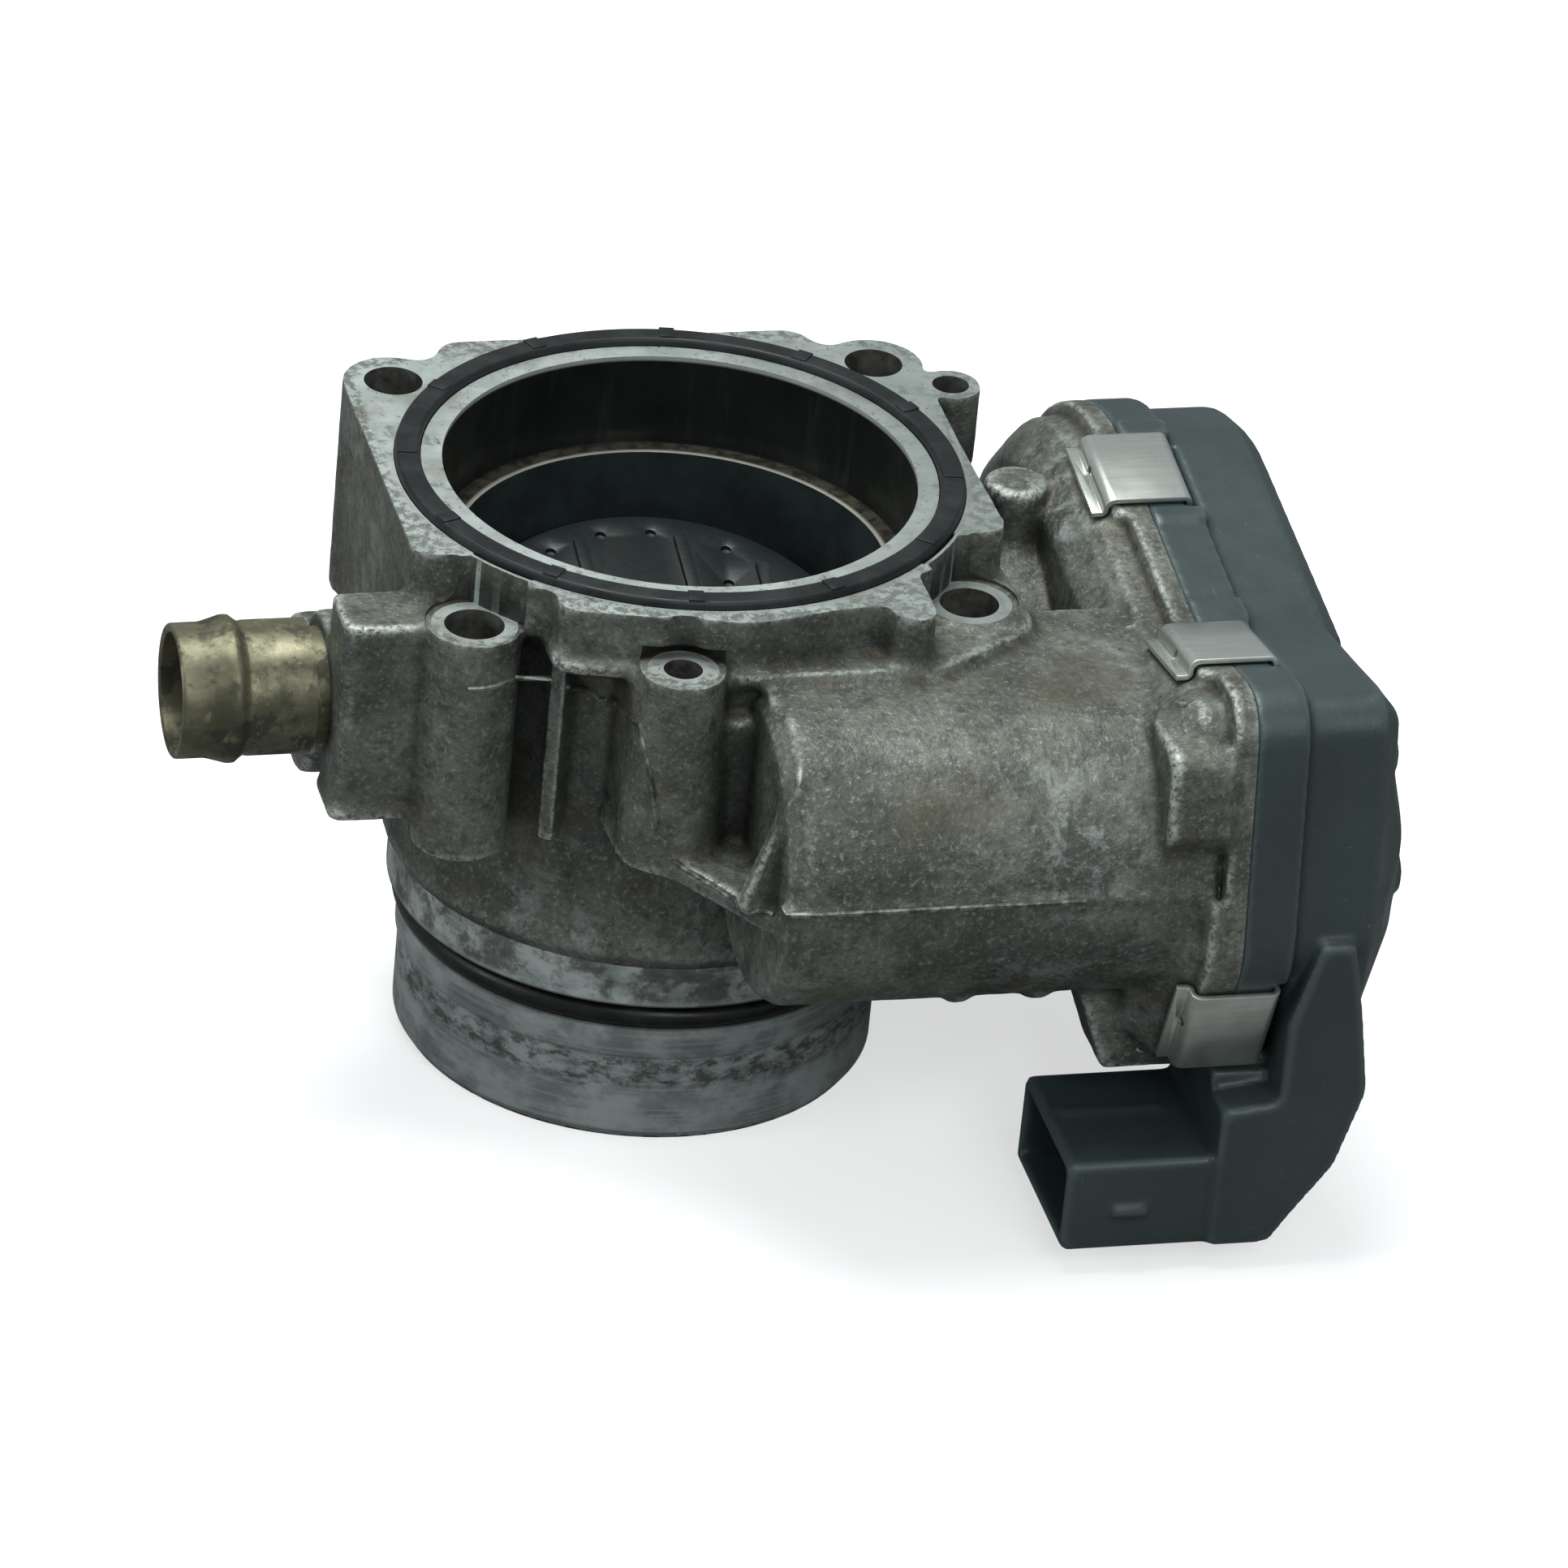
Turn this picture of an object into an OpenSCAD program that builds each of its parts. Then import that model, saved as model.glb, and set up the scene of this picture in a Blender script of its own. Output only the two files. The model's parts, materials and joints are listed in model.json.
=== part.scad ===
// Electronic throttle body: cast housing, geared motor drive, moulded gear cover.
// Frame: origin at the inlet mouth's centre, +Z up the air bore towards the inlet,
// +X along the throttle shaft towards the gear cover, -Y towards the motor. Millimetres.

/* [Air bore] */
// Diameter of the inlet mouth
inlet_d = 68; // [66:0.5:70]
// Depth of the wide inlet mouth above the throttle bore
inlet_depth = 14.2; // [10:0.1:16]
// Diameter of the throttle bore
throttle_bore_d = 62; // [60:0.5:62]
// Outside diameter of the outlet spigot
spigot_d = 70.2; // [70:0.1:72]
// Height of the spigot's lower end
spigot_end_z = -91; // [-96:0.5:-90]

/* [Flange] */
// Thickness of the inlet flange
flange_t = 7.5; // [6:0.1:9]
// Distance between the main bolts across X
bolt_span_x = 71.5; // [71:0.1:72]
// Distance between the main bolts across Y
bolt_span_y = 58.5; // [58:0.1:59]
// Diameter of the main bolt holes
bolt_hole_d = 8.5; // [8.1:0.1:8.7]
// Depth of the two front bolt seats below the flange face
seat_depth = 7; // [5:0.1:8]

/* [Throttle] */
// Height of the throttle shaft's axis
shaft_z = -34; // [-35:0.5:-33]
// Diameter of the throttle shaft
shaft_d = 9; // [8:0.1:9]
// Angle of the plate at rest, above the square-closed position
rest_tilt = 15; // [10:1:16]
// Thickness of the throttle plate
plate_t = 2.2; // [1.8:0.1:2.6]
// Gap between the plate's rim and the bore
plate_gap = 0.3; // [0.25:0.05:0.5]

/* [Drive] */
// Motor axis, distance in front of the air bore's axis
motor_y = -51; // [-52:0.5:-51]
// Height of the motor axis
motor_z = -31.8; // [-32.5:0.1:-31]
// Outside radius of the motor barrel
barrel_r = 22.75; // [22:0.25:23.5]
// Diameter of the motor can
motor_d = 35.8; // [34:0.1:35.8]
// Teeth on the throttle sector gear, if it were a full wheel
sector_teeth = 46; // [46:1:46]
// Teeth on the small wheel of the intermediate gear
small_teeth = 14; // [14:1:14]
// Teeth on the large wheel of the intermediate gear
large_teeth = 45; // [45:1:45]
// Teeth on the motor pinion
pinion_teeth = 12; // [12:1:12]
// Module of the sector stage
sector_module = 1.0; // [1:0.1:1]
// Module of the pinion stage
pinion_module = 0.8; // [0.8:0.1:0.8]
// Backlash between meshing teeth
backlash = 0.16; // [0.1:0.02:0.3]

/* [Gear case] */
// Joint face between the housing and the cover
joint_x = 66.4; // [66:0.1:67]
// Thickness of the cover's rim
rim_t = 7.7; // [7:0.1:8]
// Outer face of the cover
cover_x = 88.5; // [88:0.1:89]
// Outer face of the cover's raised front part
dome_x = 91; // [90.5:0.1:92]

/* [Hose nipple] */
// Distance of the nipple's axis in front of the air bore's axis
nipple_y = -15; // [-16:0.5:-14]
// Height of the nipple's axis
nipple_z = -24; // [-25:0.5:-23]
// Outside diameter of the nipple
nipple_d = 19.2; // [18:0.1:20]
// Free end of the nipple
nipple_tip_x = -75.2; // [-78:0.1:-72]

/* [Hidden] */
$fn = 96;
eps = 0.01;
slip = 0.03;          // radial clearance of a running or loose fit

bore_r = throttle_bore_d / 2;
inlet_r = inlet_d / 2;
spigot_r = spigot_d / 2;
bolt_x = bolt_span_x / 2;
bolt_y = bolt_span_y / 2;
shaft_r = shaft_d / 2;
can_r = motor_d / 2;

// Gear centres: the intermediate axle closes the triangle from the throttle shaft to the motor.
sector_reach = sector_module * (sector_teeth + small_teeth) / 2;
pinion_reach = pinion_module * (large_teeth + pinion_teeth) / 2;
throttle_c = [0, shaft_z];
motor_c = [motor_y, motor_z];
centre_gap = norm(motor_c - throttle_c);
to_motor = (motor_c - throttle_c) / centre_gap;
along = (pow(centre_gap, 2) + pow(sector_reach, 2) - pow(pinion_reach, 2)) / (2 * centre_gap);
aside = sqrt(pow(sector_reach, 2) - pow(along, 2));
middle_c = throttle_c + along * to_motor + aside * [-to_motor[1], to_motor[0]];
sector_mesh_a = atan2(middle_c[1] - throttle_c[1], middle_c[0] - throttle_c[0]);
pinion_mesh_a = atan2(motor_c[1] - middle_c[1], motor_c[0] - middle_c[0]);

// Stations along X inside the gear case
floor_x = 57.5;
case_back_x = 54;
lip_x = 63.2;
clip_pad_x = 61.1;
sector_x = [59, 65.5];
large_x = [67, 72];
pinion_x = [66.5, 73];
spring_x = [48.6, 56.6];

// Seals
seal_in_r = 37;
seal_out_r = 40.9;
seal_depth = 3;
seal_stand = 1.2;
ring_groove_z = [-71.6, -67];
ring_groove_r = 33.1;
ring_wire_r = 1.75;

// The gear case's outline, y and z, anticlockwise, with its corner radii
case_far_r = 35.4;
case_far_y = 42.6;
case_low_z = -74.6;
case_dip = [-38.6, -6.6];
front_slope = -0.19;
rear_slope = 0.148;
function case_edge_z(y) = case_dip[1] + (y < case_dip[0] ? front_slope : rear_slope) * (y - case_dip[0]);
case_pts = [[-70.4, case_edge_z(-70.4)], [-76.3, -40], [-68, -63], [-34, case_low_z],
            [case_far_y, case_low_z], [case_far_y, case_edge_z(case_far_y)], case_dip];
case_radii = [7, 12, 10, 40, case_far_r, case_far_r, 18];

// Clips on the joint: centre y, centre z, direction of the outward normal
clip_len = 15.5;
clips = [[-3.6, case_edge_z(-3.6), 98.4], [-48.7, case_edge_z(-48.7), 79.2], [-71.6, -53, 199.8],
         [-42, -71.9, 251.2], [0, case_low_z, 270], [case_far_y, -37.4, 0]];

// Connector, on the cover's lower front corner
socket_x = 45;
socket_y = [-75.4, -50.6];
socket_z = [-87, -72.7];
socket_wall = 1.7;
socket_floor_x = 64;
pin_count = 6;
pin_pitch = 3.5;

// ---- plane geometry ----
function unit(v) = v / norm(v);
function left_of(v) = [-v[1], v[0]];
function cross2(u, v) = u[0] * v[1] - u[1] * v[0];
function meet(p, u, q, v) = p + u * cross2(q - p, v) / cross2(u, v);
function prev_of(p, i) = p[(i + len(p) - 1) % len(p)];
function next_of(p, i) = p[(i + 1) % len(p)];

// Points of an anticlockwise polygon moved inwards by d
function inset_points(p, d) = [for (i = [0:len(p) - 1])
    let (a = prev_of(p, i), b = p[i], c = next_of(p, i), u = unit(b - a), v = unit(c - b))
    meet(a + d * left_of(u), u, b + d * left_of(v), v)];
// Radii that go with those points: convex corners tighten, hollow ones open
function inset_radii(p, r, d) = [for (i = [0:len(p) - 1])
    let (turn = cross2(p[i] - prev_of(p, i), next_of(p, i) - p[i]))
    max(0.3, r[i] - (turn > 0 ? d : -d))];
function arc(a, b, c, r, n) =
    let (u = unit(a - b), v = unit(c - b), half = acos(u * v) / 2,
         p = b + u * r / tan(half), q = b + v * r / tan(half), o = b + unit(u + v) * r / sin(half),
         s = atan2(p[1] - o[1], p[0] - o[0]), e = atan2(q[1] - o[1], q[0] - o[0]),
         sweep = e - s > 180 ? e - s - 360 : (e - s < -180 ? e - s + 360 : e - s))
    [for (k = [0:n]) o + r * [cos(s + sweep * k / n), sin(s + sweep * k / n)]];
// A polygon with rounded corners, more steps on the larger arcs
function rounded(p, r) = [for (i = [0:len(p) - 1])
    each arc(prev_of(p, i), p[i], next_of(p, i), r[i], r[i] > 20 ? 16 : (r[i] > 4 ? 7 : 4))];
function case_outline(d) = rounded(inset_points(case_pts, d), inset_radii(case_pts, case_radii, d));

// ---- placing ----
module along_x(x0, x1) translate([x0, 0, 0]) rotate([90, 0, 90]) linear_extrude(x1 - x0) children();
module along_y(y0, y1) translate([0, y1, 0]) rotate([90, 0, 0]) linear_extrude(y1 - y0) children();
module up_z(z0, z1) translate([0, 0, z0]) linear_extrude(z1 - z0) children();
module rod_x(r, x0, x1, c) translate([x0, c[0], c[1]]) rotate([0, 90, 0]) cylinder(r = r, h = x1 - x0);
module rod_z(r, z0, z1, p) translate([p[0], p[1], z0]) cylinder(r = r, h = z1 - z0);
module tube_x(ro, ri, x0, x1, c) difference() {
    rod_x(ro, x0, x1, c);
    rod_x(ri, x0 - 1, x1 + 1, c);
}
module block(lo, hi) translate(lo) cube(hi - lo);
module round_rect(lo, hi, r) polygon(rounded([lo, [hi[0], lo[1]], hi, [lo[0], hi[1]]], [r, r, r, r]));
// Things built about the throttle axis, tilted with the plate
module tilted() translate([0, 0, shaft_z]) rotate([rest_tilt, 0, 0]) children();

// ---- gears ----
function inv(a) = tan(a) - a * PI / 180;
function pitch_r(m, n) = m * n / 2;
function base_r(m, n) = pitch_r(m, n) * cos(20);
function half_tooth(m, n, r) = ((PI * m / 2 - backlash) / (m * n)
    + inv(20) - inv(acos(min(1, base_r(m, n) / r)))) * 180 / PI;
function polar(r, a) = r * [cos(a), sin(a)];
function tooth(m, n, add, c) =
    let (root = pitch_r(m, n) - (add + 0.25) * m, tip = pitch_r(m, n) + add * m,
         start = max(root, base_r(m, n)), steps = 4,
         radii = [for (k = [0:steps]) start + (tip - start) * k / steps], w = half_tooth(m, n, start))
    concat(start > root ? [polar(root, c - w)] : [],
           [for (k = [0:steps]) polar(radii[k], c - half_tooth(m, n, radii[k]))],
           [for (k = [0:steps]) polar(radii[steps - k], c + half_tooth(m, n, radii[steps - k]))],
           start > root ? [polar(root, c + w)] : []);
function teeth(m, n, add, phase, i0, i1) = [for (i = [i0:i1]) each tooth(m, n, add, phase + i * 360 / n)];
sector_add = 0.8;
pinion_add = 0.7;
module gear_x(m, n, add, phase, x, c)
    translate([0, c[0], c[1]]) along_x(x[0], x[1]) polygon(teeth(m, n, add, phase, 0, n - 1));

// ---- housing ----
flange_pts = [[-43.2, 35.2], [-43.2, -21.8], [-25.8, -21.8], [-25.8, -38.5], [-12, -42], [0.5, -44.6],
              [13, -41.8], [20.3, -41], [20.8, -45.8], [26.9, -45.8], [26.9, -21.8], [43, -21.8],
              [42.4, 2], [42.4, 35.2], [28.5, 35.2], [27.5, 40.4], [-27, 40.4], [-28, 35.2]];
flange_radii = [7, 3, 1, 3, 9, 12, 8, 1.5, 3, 3, 1, 3, 9, 7, 3, 4, 4, 3];
seat_z = -seat_depth;
boss_r = 6.8;
pillar_end_z = -34;
front_pillar_end_z = -42;

module flange_plate() {
    difference() {
        up_z(-flange_t, 0) union() {
            circle(r = 42.3);
            polygon(rounded(flange_pts, flange_radii));
        }
        for (x = [-bolt_x, bolt_x]) rod_z(boss_r + 0.9, seat_z, 1, [x, -bolt_y]);
    }
    // wider shelf below the flange's front edge
    up_z(-flange_t - 2.2, -flange_t + eps)
        polygon(rounded([[-26.5, -20], [-26.5, -40], [0, -46.2], [27, -46.5], [44, -36], [44, -20]],
                        [2, 3, 10, 4, 5, 2]));
}

// Posts for the main bolts: the rear pair reach the flange face, the front pair are set down
module bolt_posts() {
    for (x = [-bolt_x, bolt_x]) {
        rod_z(boss_r + 0.5, pillar_end_z, 0, [x, bolt_y]);
        rod_z(boss_r, front_pillar_end_z, seat_z, [x, -bolt_y]);
    }
    // webs that tie the posts to the bore wall
    up_z(pillar_end_z, -flange_t)
        polygon(rounded([[-42.4, 30], [-42.4, -20], [-20, -20], [-20, 34], [-37, 34]], [3, 3, 1, 1, 3]));
    up_z(front_pillar_end_z, -flange_t) polygon(rounded(
        [[-41.2, -8], [-41.2, -24], [-36, -30.5], [-31, -30.5], [-27, -8]], [2, 3, 2, 1.5, 1]));
    up_z(pillar_end_z, -flange_t)
        polygon(rounded([[20, 34], [20, 16], [42, 16], [42, 30], [37, 34]], [1, 1, 3, 3, 3]));
    // square skirt round the right-hand seat
    up_z(-15, seat_z)
        polygon(rounded([[26.9, -20], [26.9, -36.2], [43.6, -36.2], [43.6, -20]], [1, 2, 3, 3]));
}

module bore_body() rotate_extrude() polygon([
    [bore_r - 2, -1], [41, -1], [41, -flange_t - 1.5], [38.2, -flange_t - 4], [38.2, -55.5], [39, -57],
    [39, -58.6], [37.5, -60.2], [37.5, ring_groove_z[1]], [ring_groove_r, ring_groove_z[1]],
    [ring_groove_r, ring_groove_z[0]], [spigot_r + 0.5, ring_groove_z[0]], [spigot_r + 0.5, -76.4],
    [spigot_r, -77.2], [spigot_r, spigot_end_z + 1.5], [spigot_r - 1, spigot_end_z],
    [bore_r - 2, spigot_end_z]]);

// Screw post beside the motor barrel, with its foot and fins
screw_post = [-9.5, -45];
screw_post_top = -6.5;
module front_post() {
    translate([screw_post[0], screw_post[1], -36])
        cylinder(r1 = 7.6, r2 = 6, h = screw_post_top + 36, $fn = 64);
    block([-16, -45, -36], [4, -30, -9]);
    up_z(-36.5, -33.2) polygon(rounded(
        [[-17, -30], [-17, -43], [-12, -50], [1, -69.5], [6, -69.5], [6, -30]], [1, 3, 4, 2, 1, 1]));
    block([-7.2, -47.6, -34], [3, -44, -14]);
    along_y(-66, -63) polygon([[-4.5, -34], [3, -34], [3, -12]]);
    // low vertical rib on the bore wall, beside the left-hand post
    rotate([0, 0, -125.5]) block([36, -1.2, -40], [42.5, 1.2, -8]);
}

module side_posts() {
    // small threaded boss at the right rear corner
    rod_z(4.45, -13, 0, [45.5, 21.9]);
    block([36, 18.5, -11], [45.5, 25.3, -1.2]);
    // round cast stub over the shaft's right-hand boss
    rod_z(4.7, -20, -5, [50.8, 2.2]);
    translate([50.8, 2.2, -20]) cylinder(r1 = 7.5, r2 = 4.7, h = 7);
    block([36, -1.2, -32], [52, 3.8, -13]);
}

module nipple_block() {
    up_z(-38, -7) polygon(rounded([[-54, -18.5], [-54, -29.5], [-40, -29.5], [-40, -18.5]], [1, 2.5, 1, 1]));
    up_z(-38, -36.3) polygon(rounded([[-54.6, -19], [-54.6, -30.1], [-40, -30.1], [-40, -19]], [1, 2, 1, 1]));
    block([-48, -27, -37], [-34, -12, -12]);
    // round boss that the nipple is pressed into
    rod_x(nipple_d / 2 + 1, -54, -34, [nipple_y, nipple_z]);
}

parting_z = -30.2;
module motor_barrel() {
    rod_x(barrel_r, 3.5, 62, motor_c);
    translate([1, motor_y, motor_z]) rotate([0, 90, 0])
        cylinder(r1 = barrel_r - 2, r2 = barrel_r, h = 2.5 + eps);
    // metal between the barrel and the bore wall
    block([2, motor_y, -48], [60, -28, -9.2]);
    // parting line and the small casting ribs under the barrel
    block([0, motor_y - barrel_r - 0.35, parting_z], [62, motor_y - barrel_r + 3, parting_z + 0.8]);
    for (x = [28.5, 40]) intersection() {
        rod_x(barrel_r + 0.9, x, x + 2.2, motor_c);
        block([x - 1, -66, -60], [x + 4, -34, motor_z - 15]);
    }
}

module rear_half() intersection() {
    children();
    translate([case_dip[0] - eps, -100]) square([100, 110]);
}
module front_half() intersection() {
    children();
    translate([case_dip[0] - 60, -100]) square([60, 110]);
}
module case_shell() {
    // the shell behind the rim slopes in towards its back
    along_x(case_back_x + 5.5, lip_x + eps) polygon(case_outline(2.2));
    hull() {
        along_x(case_back_x, case_back_x + 0.1) rear_half() polygon(case_outline(7.5));
        along_x(case_back_x + 5.5, case_back_x + 5.6) rear_half() polygon(case_outline(2.2));
    }
    hull() {
        along_x(case_back_x, case_back_x + 0.1) front_half() polygon(case_outline(7));
        along_x(case_back_x + 5.5, case_back_x + 5.6) front_half() polygon(case_outline(2.2));
    }
    along_x(lip_x, joint_x) polygon(case_outline(0));
    // thick pads where the clips grip
    for (c = clips) intersection() {
        along_x(clip_pad_x, joint_x) polygon(case_outline(0));
        translate([0, c[0], c[1]]) rotate([c[2], 0, 0])
            block([clip_pad_x, -7, -clip_len / 2 - 2], [joint_x, 3, clip_len / 2 + 2]);
    }
    // raised pad on the barrel's end, and the post above the front clip
    along_x(54, lip_x + eps) polygon(rounded([[-72.6, -8], [-74.4, -20], [-69, -29], [-60, -29], [-60, -8]],
                                             [3, 2, 2, 2, 2]));
    intersection() {
        along_x(clip_pad_x, joint_x - 1) polygon(case_outline(0));
        block([clip_pad_x, -80, -47], [joint_x - 1, -60, -31]);
    }
    // deeper foot of the case behind the connector
    along_y(-62, -51) polygon([[46, -47], [52.5, -65.5], [lip_x, -65.5], [lip_x, -47]]);
    // bosses of the throttle shaft and the intermediate axle
    rod_x(19, 44.5, floor_x, throttle_c);
    rod_x(13, 36, 50, throttle_c);
    rod_x(5.6, 46, floor_x, middle_c);
    // two webs across the valley between the bore wall and the case
    for (y = [-16, 12]) block([34, y - 1.6, -52], [56, y + 1.6, -20]);
}

module left_bearing_boss() {
    rod_x(11.5, -53.8, -30, throttle_c);
    block([-44, -10, -50], [-30, 10, -34]);
}

module housing_metal() {
    bore_body();
    flange_plate();
    bolt_posts();
    front_post();
    side_posts();
    nipple_block();
    motor_barrel();
    case_shell();
    left_bearing_boss();
}

motor_ear_c = [[-58, -52], [-36, -16.8]];
module housing_cuts() {
    // air bore, with its wide mouth
    rod_z(bore_r, spigot_end_z - 1, 1, [0, 0]);
    rod_z(inlet_r, -inlet_depth, 1, [0, 0]);
    // seal groove in the flange
    difference() {
        rod_z(seal_out_r, -seal_depth, 1, [0, 0]);
        rod_z(seal_in_r, -seal_depth - 1, 2, [0, 0]);
    }
    // main bolts
    for (x = [-bolt_x, bolt_x]) {
        rod_z(bolt_hole_d / 2, pillar_end_z - 1, 1, [x, bolt_y]);
        rod_z(bolt_hole_d / 2, front_pillar_end_z - 8, 1, [x, -bolt_y]);
    }
    // threaded holes; the front one has a small scallop in the flange's edge for the screw
    rod_z(2.75, -26, 1, screw_post);
    rod_z(3.6, screw_post_top, 1, screw_post);
    rod_z(2.7, -11, 1, [45.5, 21.9]);
    // shaft tunnel, bearing seats and spring pocket
    rod_x(shaft_r + 0.3, -50, 58, throttle_c);
    rod_x(7, -57, -34, throttle_c);
    rod_x(7, 34, 50, throttle_c);
    difference() {
        rod_x(15.6, 47.5, floor_x + 1, throttle_c);
        rod_x(8.4, 47, 56, throttle_c);
    }
    rod_x(8.5, 55.9, floor_x + 1, throttle_c);
    // nipple seat and its air passage
    rod_x(nipple_d / 2 - 1.7, -58, -44, [nipple_y, nipple_z]);
    rod_x(6.2, -45, -20, [nipple_y, nipple_z]);
    // motor cavity and gear chamber
    rod_x(can_r + 0.2, 3.8, 60, motor_c);
    along_x(floor_x, joint_x + 1) polygon(case_outline(5.6));
    // intermediate axle, motor screws
    rod_x(2.5, 48, 60, middle_c);
    for (c = motor_ear_c) rod_x(1.6, 49, 60, c);
    // seal groove in the joint face
    difference() {
        along_x(joint_x - 1.4, joint_x + 1) polygon(case_outline(2));
        along_x(joint_x - 2, joint_x + 2) polygon(case_outline(4));
    }
}

module housing() color([0.55, 0.55, 0.53]) difference() {
    housing_metal();
    housing_cuts();
}

// ---- seals and nipple ----
module inlet_seal() color([0.05, 0.05, 0.06]) {
    in_r = seal_in_r + 0.15;
    out_r = seal_out_r - 0.15;
    rotate_extrude() polygon([
        [in_r, -seal_depth + 0.05], [out_r, -seal_depth + 0.05], [out_r, seal_stand - 0.9],
        [out_r - 0.65, seal_stand], [in_r + 0.75, seal_stand], [in_r, seal_stand - 0.9]]);
    // locating nubs round the rim
    for (a = [20:30:350]) rotate([0, 0, a])
        block([seal_in_r + 0.6, -1.1, seal_stand - 0.6], [seal_out_r - 0.5, 1.1, seal_stand + 0.25]);
}

module outlet_o_ring() color([0.04, 0.04, 0.04])
    translate([0, 0, ring_groove_z[0] + ring_wire_r + 0.02])
        rotate_extrude() translate([ring_groove_r + ring_wire_r + 0.02, 0]) circle(r = ring_wire_r, $fn = 32);

nipple_r = nipple_d / 2;
module hose_nipple() color([0.62, 0.53, 0.32])
    translate([0, nipple_y, nipple_z]) rotate([0, 90, 0]) rotate_extrude() polygon([
        [nipple_r - 1.6, nipple_tip_x], [nipple_r - 0.5, nipple_tip_x], [nipple_r, nipple_tip_x + 0.5],
        [nipple_r, nipple_tip_x + 4.5], [nipple_r + 0.9, nipple_tip_x + 7],
        [nipple_r + 0.9, nipple_tip_x + 8.9], [nipple_r - 0.2, nipple_tip_x + 10],
        [nipple_r - 0.2, nipple_tip_x + 11.6], [nipple_r, nipple_tip_x + 12], [nipple_r, -54.02],
        [nipple_r - 1.72, -54.02], [nipple_r - 1.72, -45.5], [nipple_r - 3.1, -45.5],
        [nipple_r - 3.1, nipple_tip_x + 9], [nipple_r - 1.6, nipple_tip_x + 6]]);

// ---- throttle ----
plate_r = bore_r - plate_gap;
plate_base = 0.02;      // height of the plate's underside above the shaft's axis
screw_x = 14;
module throttle_plate() color([0.1, 0.1, 0.11]) tilted() difference() {
    union() {
        rod_z(plate_r, plate_base, plate_base + plate_t, [0, 0]);
        // stiffening ribs, from beside the screws out towards the rim
        for (x = [-22, -7.5, 7.5, 18.5], half = [0, 180]) rotate([0, 0, half])
            block([x - 0.9, 7, plate_base + plate_t - eps],
                  [x + 0.9, sqrt(pow(plate_r - 4, 2) - x * x), plate_base + plate_t + 1]);
    }
    for (x = [-screw_x, screw_x]) rod_z(2.05, -1, 5, [x, 0]);
    for (p = [[-17, 21], [-4, 27], [3.5, 27], [14, 23], [13, 16], [-12, 24]], s = [-1, 1])
        rod_z(0.8, plate_base + plate_t - 0.6, 5, s * p);
}

module throttle_shaft() color([0.7, 0.7, 0.68]) difference() {
    rod_x(shaft_r, -46.8, 74, throttle_c);
    tilted() {
        block([-bore_r + 0.15, -6, 0], [bore_r - 0.15, 6, 6]);
        for (x = [-screw_x, screw_x]) rod_z(2.05, -6, 6, [x, 0]);
    }
}

module plate_screws() color([0.6, 0.6, 0.58]) tilted() for (x = [-screw_x, screw_x]) {
    difference() {
        rod_z(3.4, plate_base + plate_t + 0.02, plate_base + plate_t + 1.7, [x, 0]);
        rod_z(1.5, plate_base + plate_t + 0.7, 6, [x, 0], $fn = 6);
    }
    rod_z(2, -3.6, plate_base + plate_t + 0.1, [x, 0]);
}

module needle_bearing(x0, x1) color([0.72, 0.72, 0.74]) {
    tube_x(7 - 0.005, 6.3, x0, x1, throttle_c);
    difference() {
        tube_x(6.4, shaft_r + slip, x0 + 0.8, x1 - 0.8, throttle_c);
        for (a = [0:20:340]) translate([0, 0, shaft_z]) rotate([a, 0, 0])
            block([x0 + 2, 5.2, -0.45], [x1 - 2, 6.2, 0.45]);
    }
}
module needle_bearing_left() needle_bearing(-47, -37.2);
module needle_bearing_right() needle_bearing(38.2, 50);

module shaft_seals() color([0.06, 0.06, 0.06]) for (x = [-37, 34.2])
    tube_x(6.98, shaft_r + slip, x, x + 2.8, throttle_c);

module shaft_end_plug() color([0.6, 0.6, 0.6]) difference() {
    rod_x(6.98, -50.2, -47.4, throttle_c);
    rod_x(5.6, -51, -48.8, throttle_c);
}

module thrust_washer() color([0.7, 0.66, 0.5]) tube_x(8.2, shaft_r + slip, 56.2, 57, throttle_c);

hub_r = 9;
module sector_gear() color([0.85, 0.82, 0.7]) difference() {
    union() {
        translate([0, 0, shaft_z]) along_x(sector_x[0], sector_x[1]) polygon(concat(
            teeth(sector_module, sector_teeth, sector_add, sector_mesh_a, -12, 3), [[0, 0]]));
        rod_x(hub_r, 58, 74.6, throttle_c);
        rod_x(13, sector_x[0], sector_x[1], throttle_c);
    }
    rod_x(shaft_r + 0.01, 57, 76, throttle_c);
    rod_x(7.6, 69.5, 76, throttle_c);
    // lightening slots in the sector's web
    for (i = [-9, -5, -1]) translate([0, 0, shaft_z]) rotate([sector_mesh_a + i * 360 / sector_teeth, 0, 0])
        rod_x(2.6, 50, 70, [16.8, 0]);
}

module sensor_magnet() color([0.2, 0.2, 0.22]) tube_x(7.58, shaft_r + 0.5, 69.6, 74.4, throttle_c);

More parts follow.
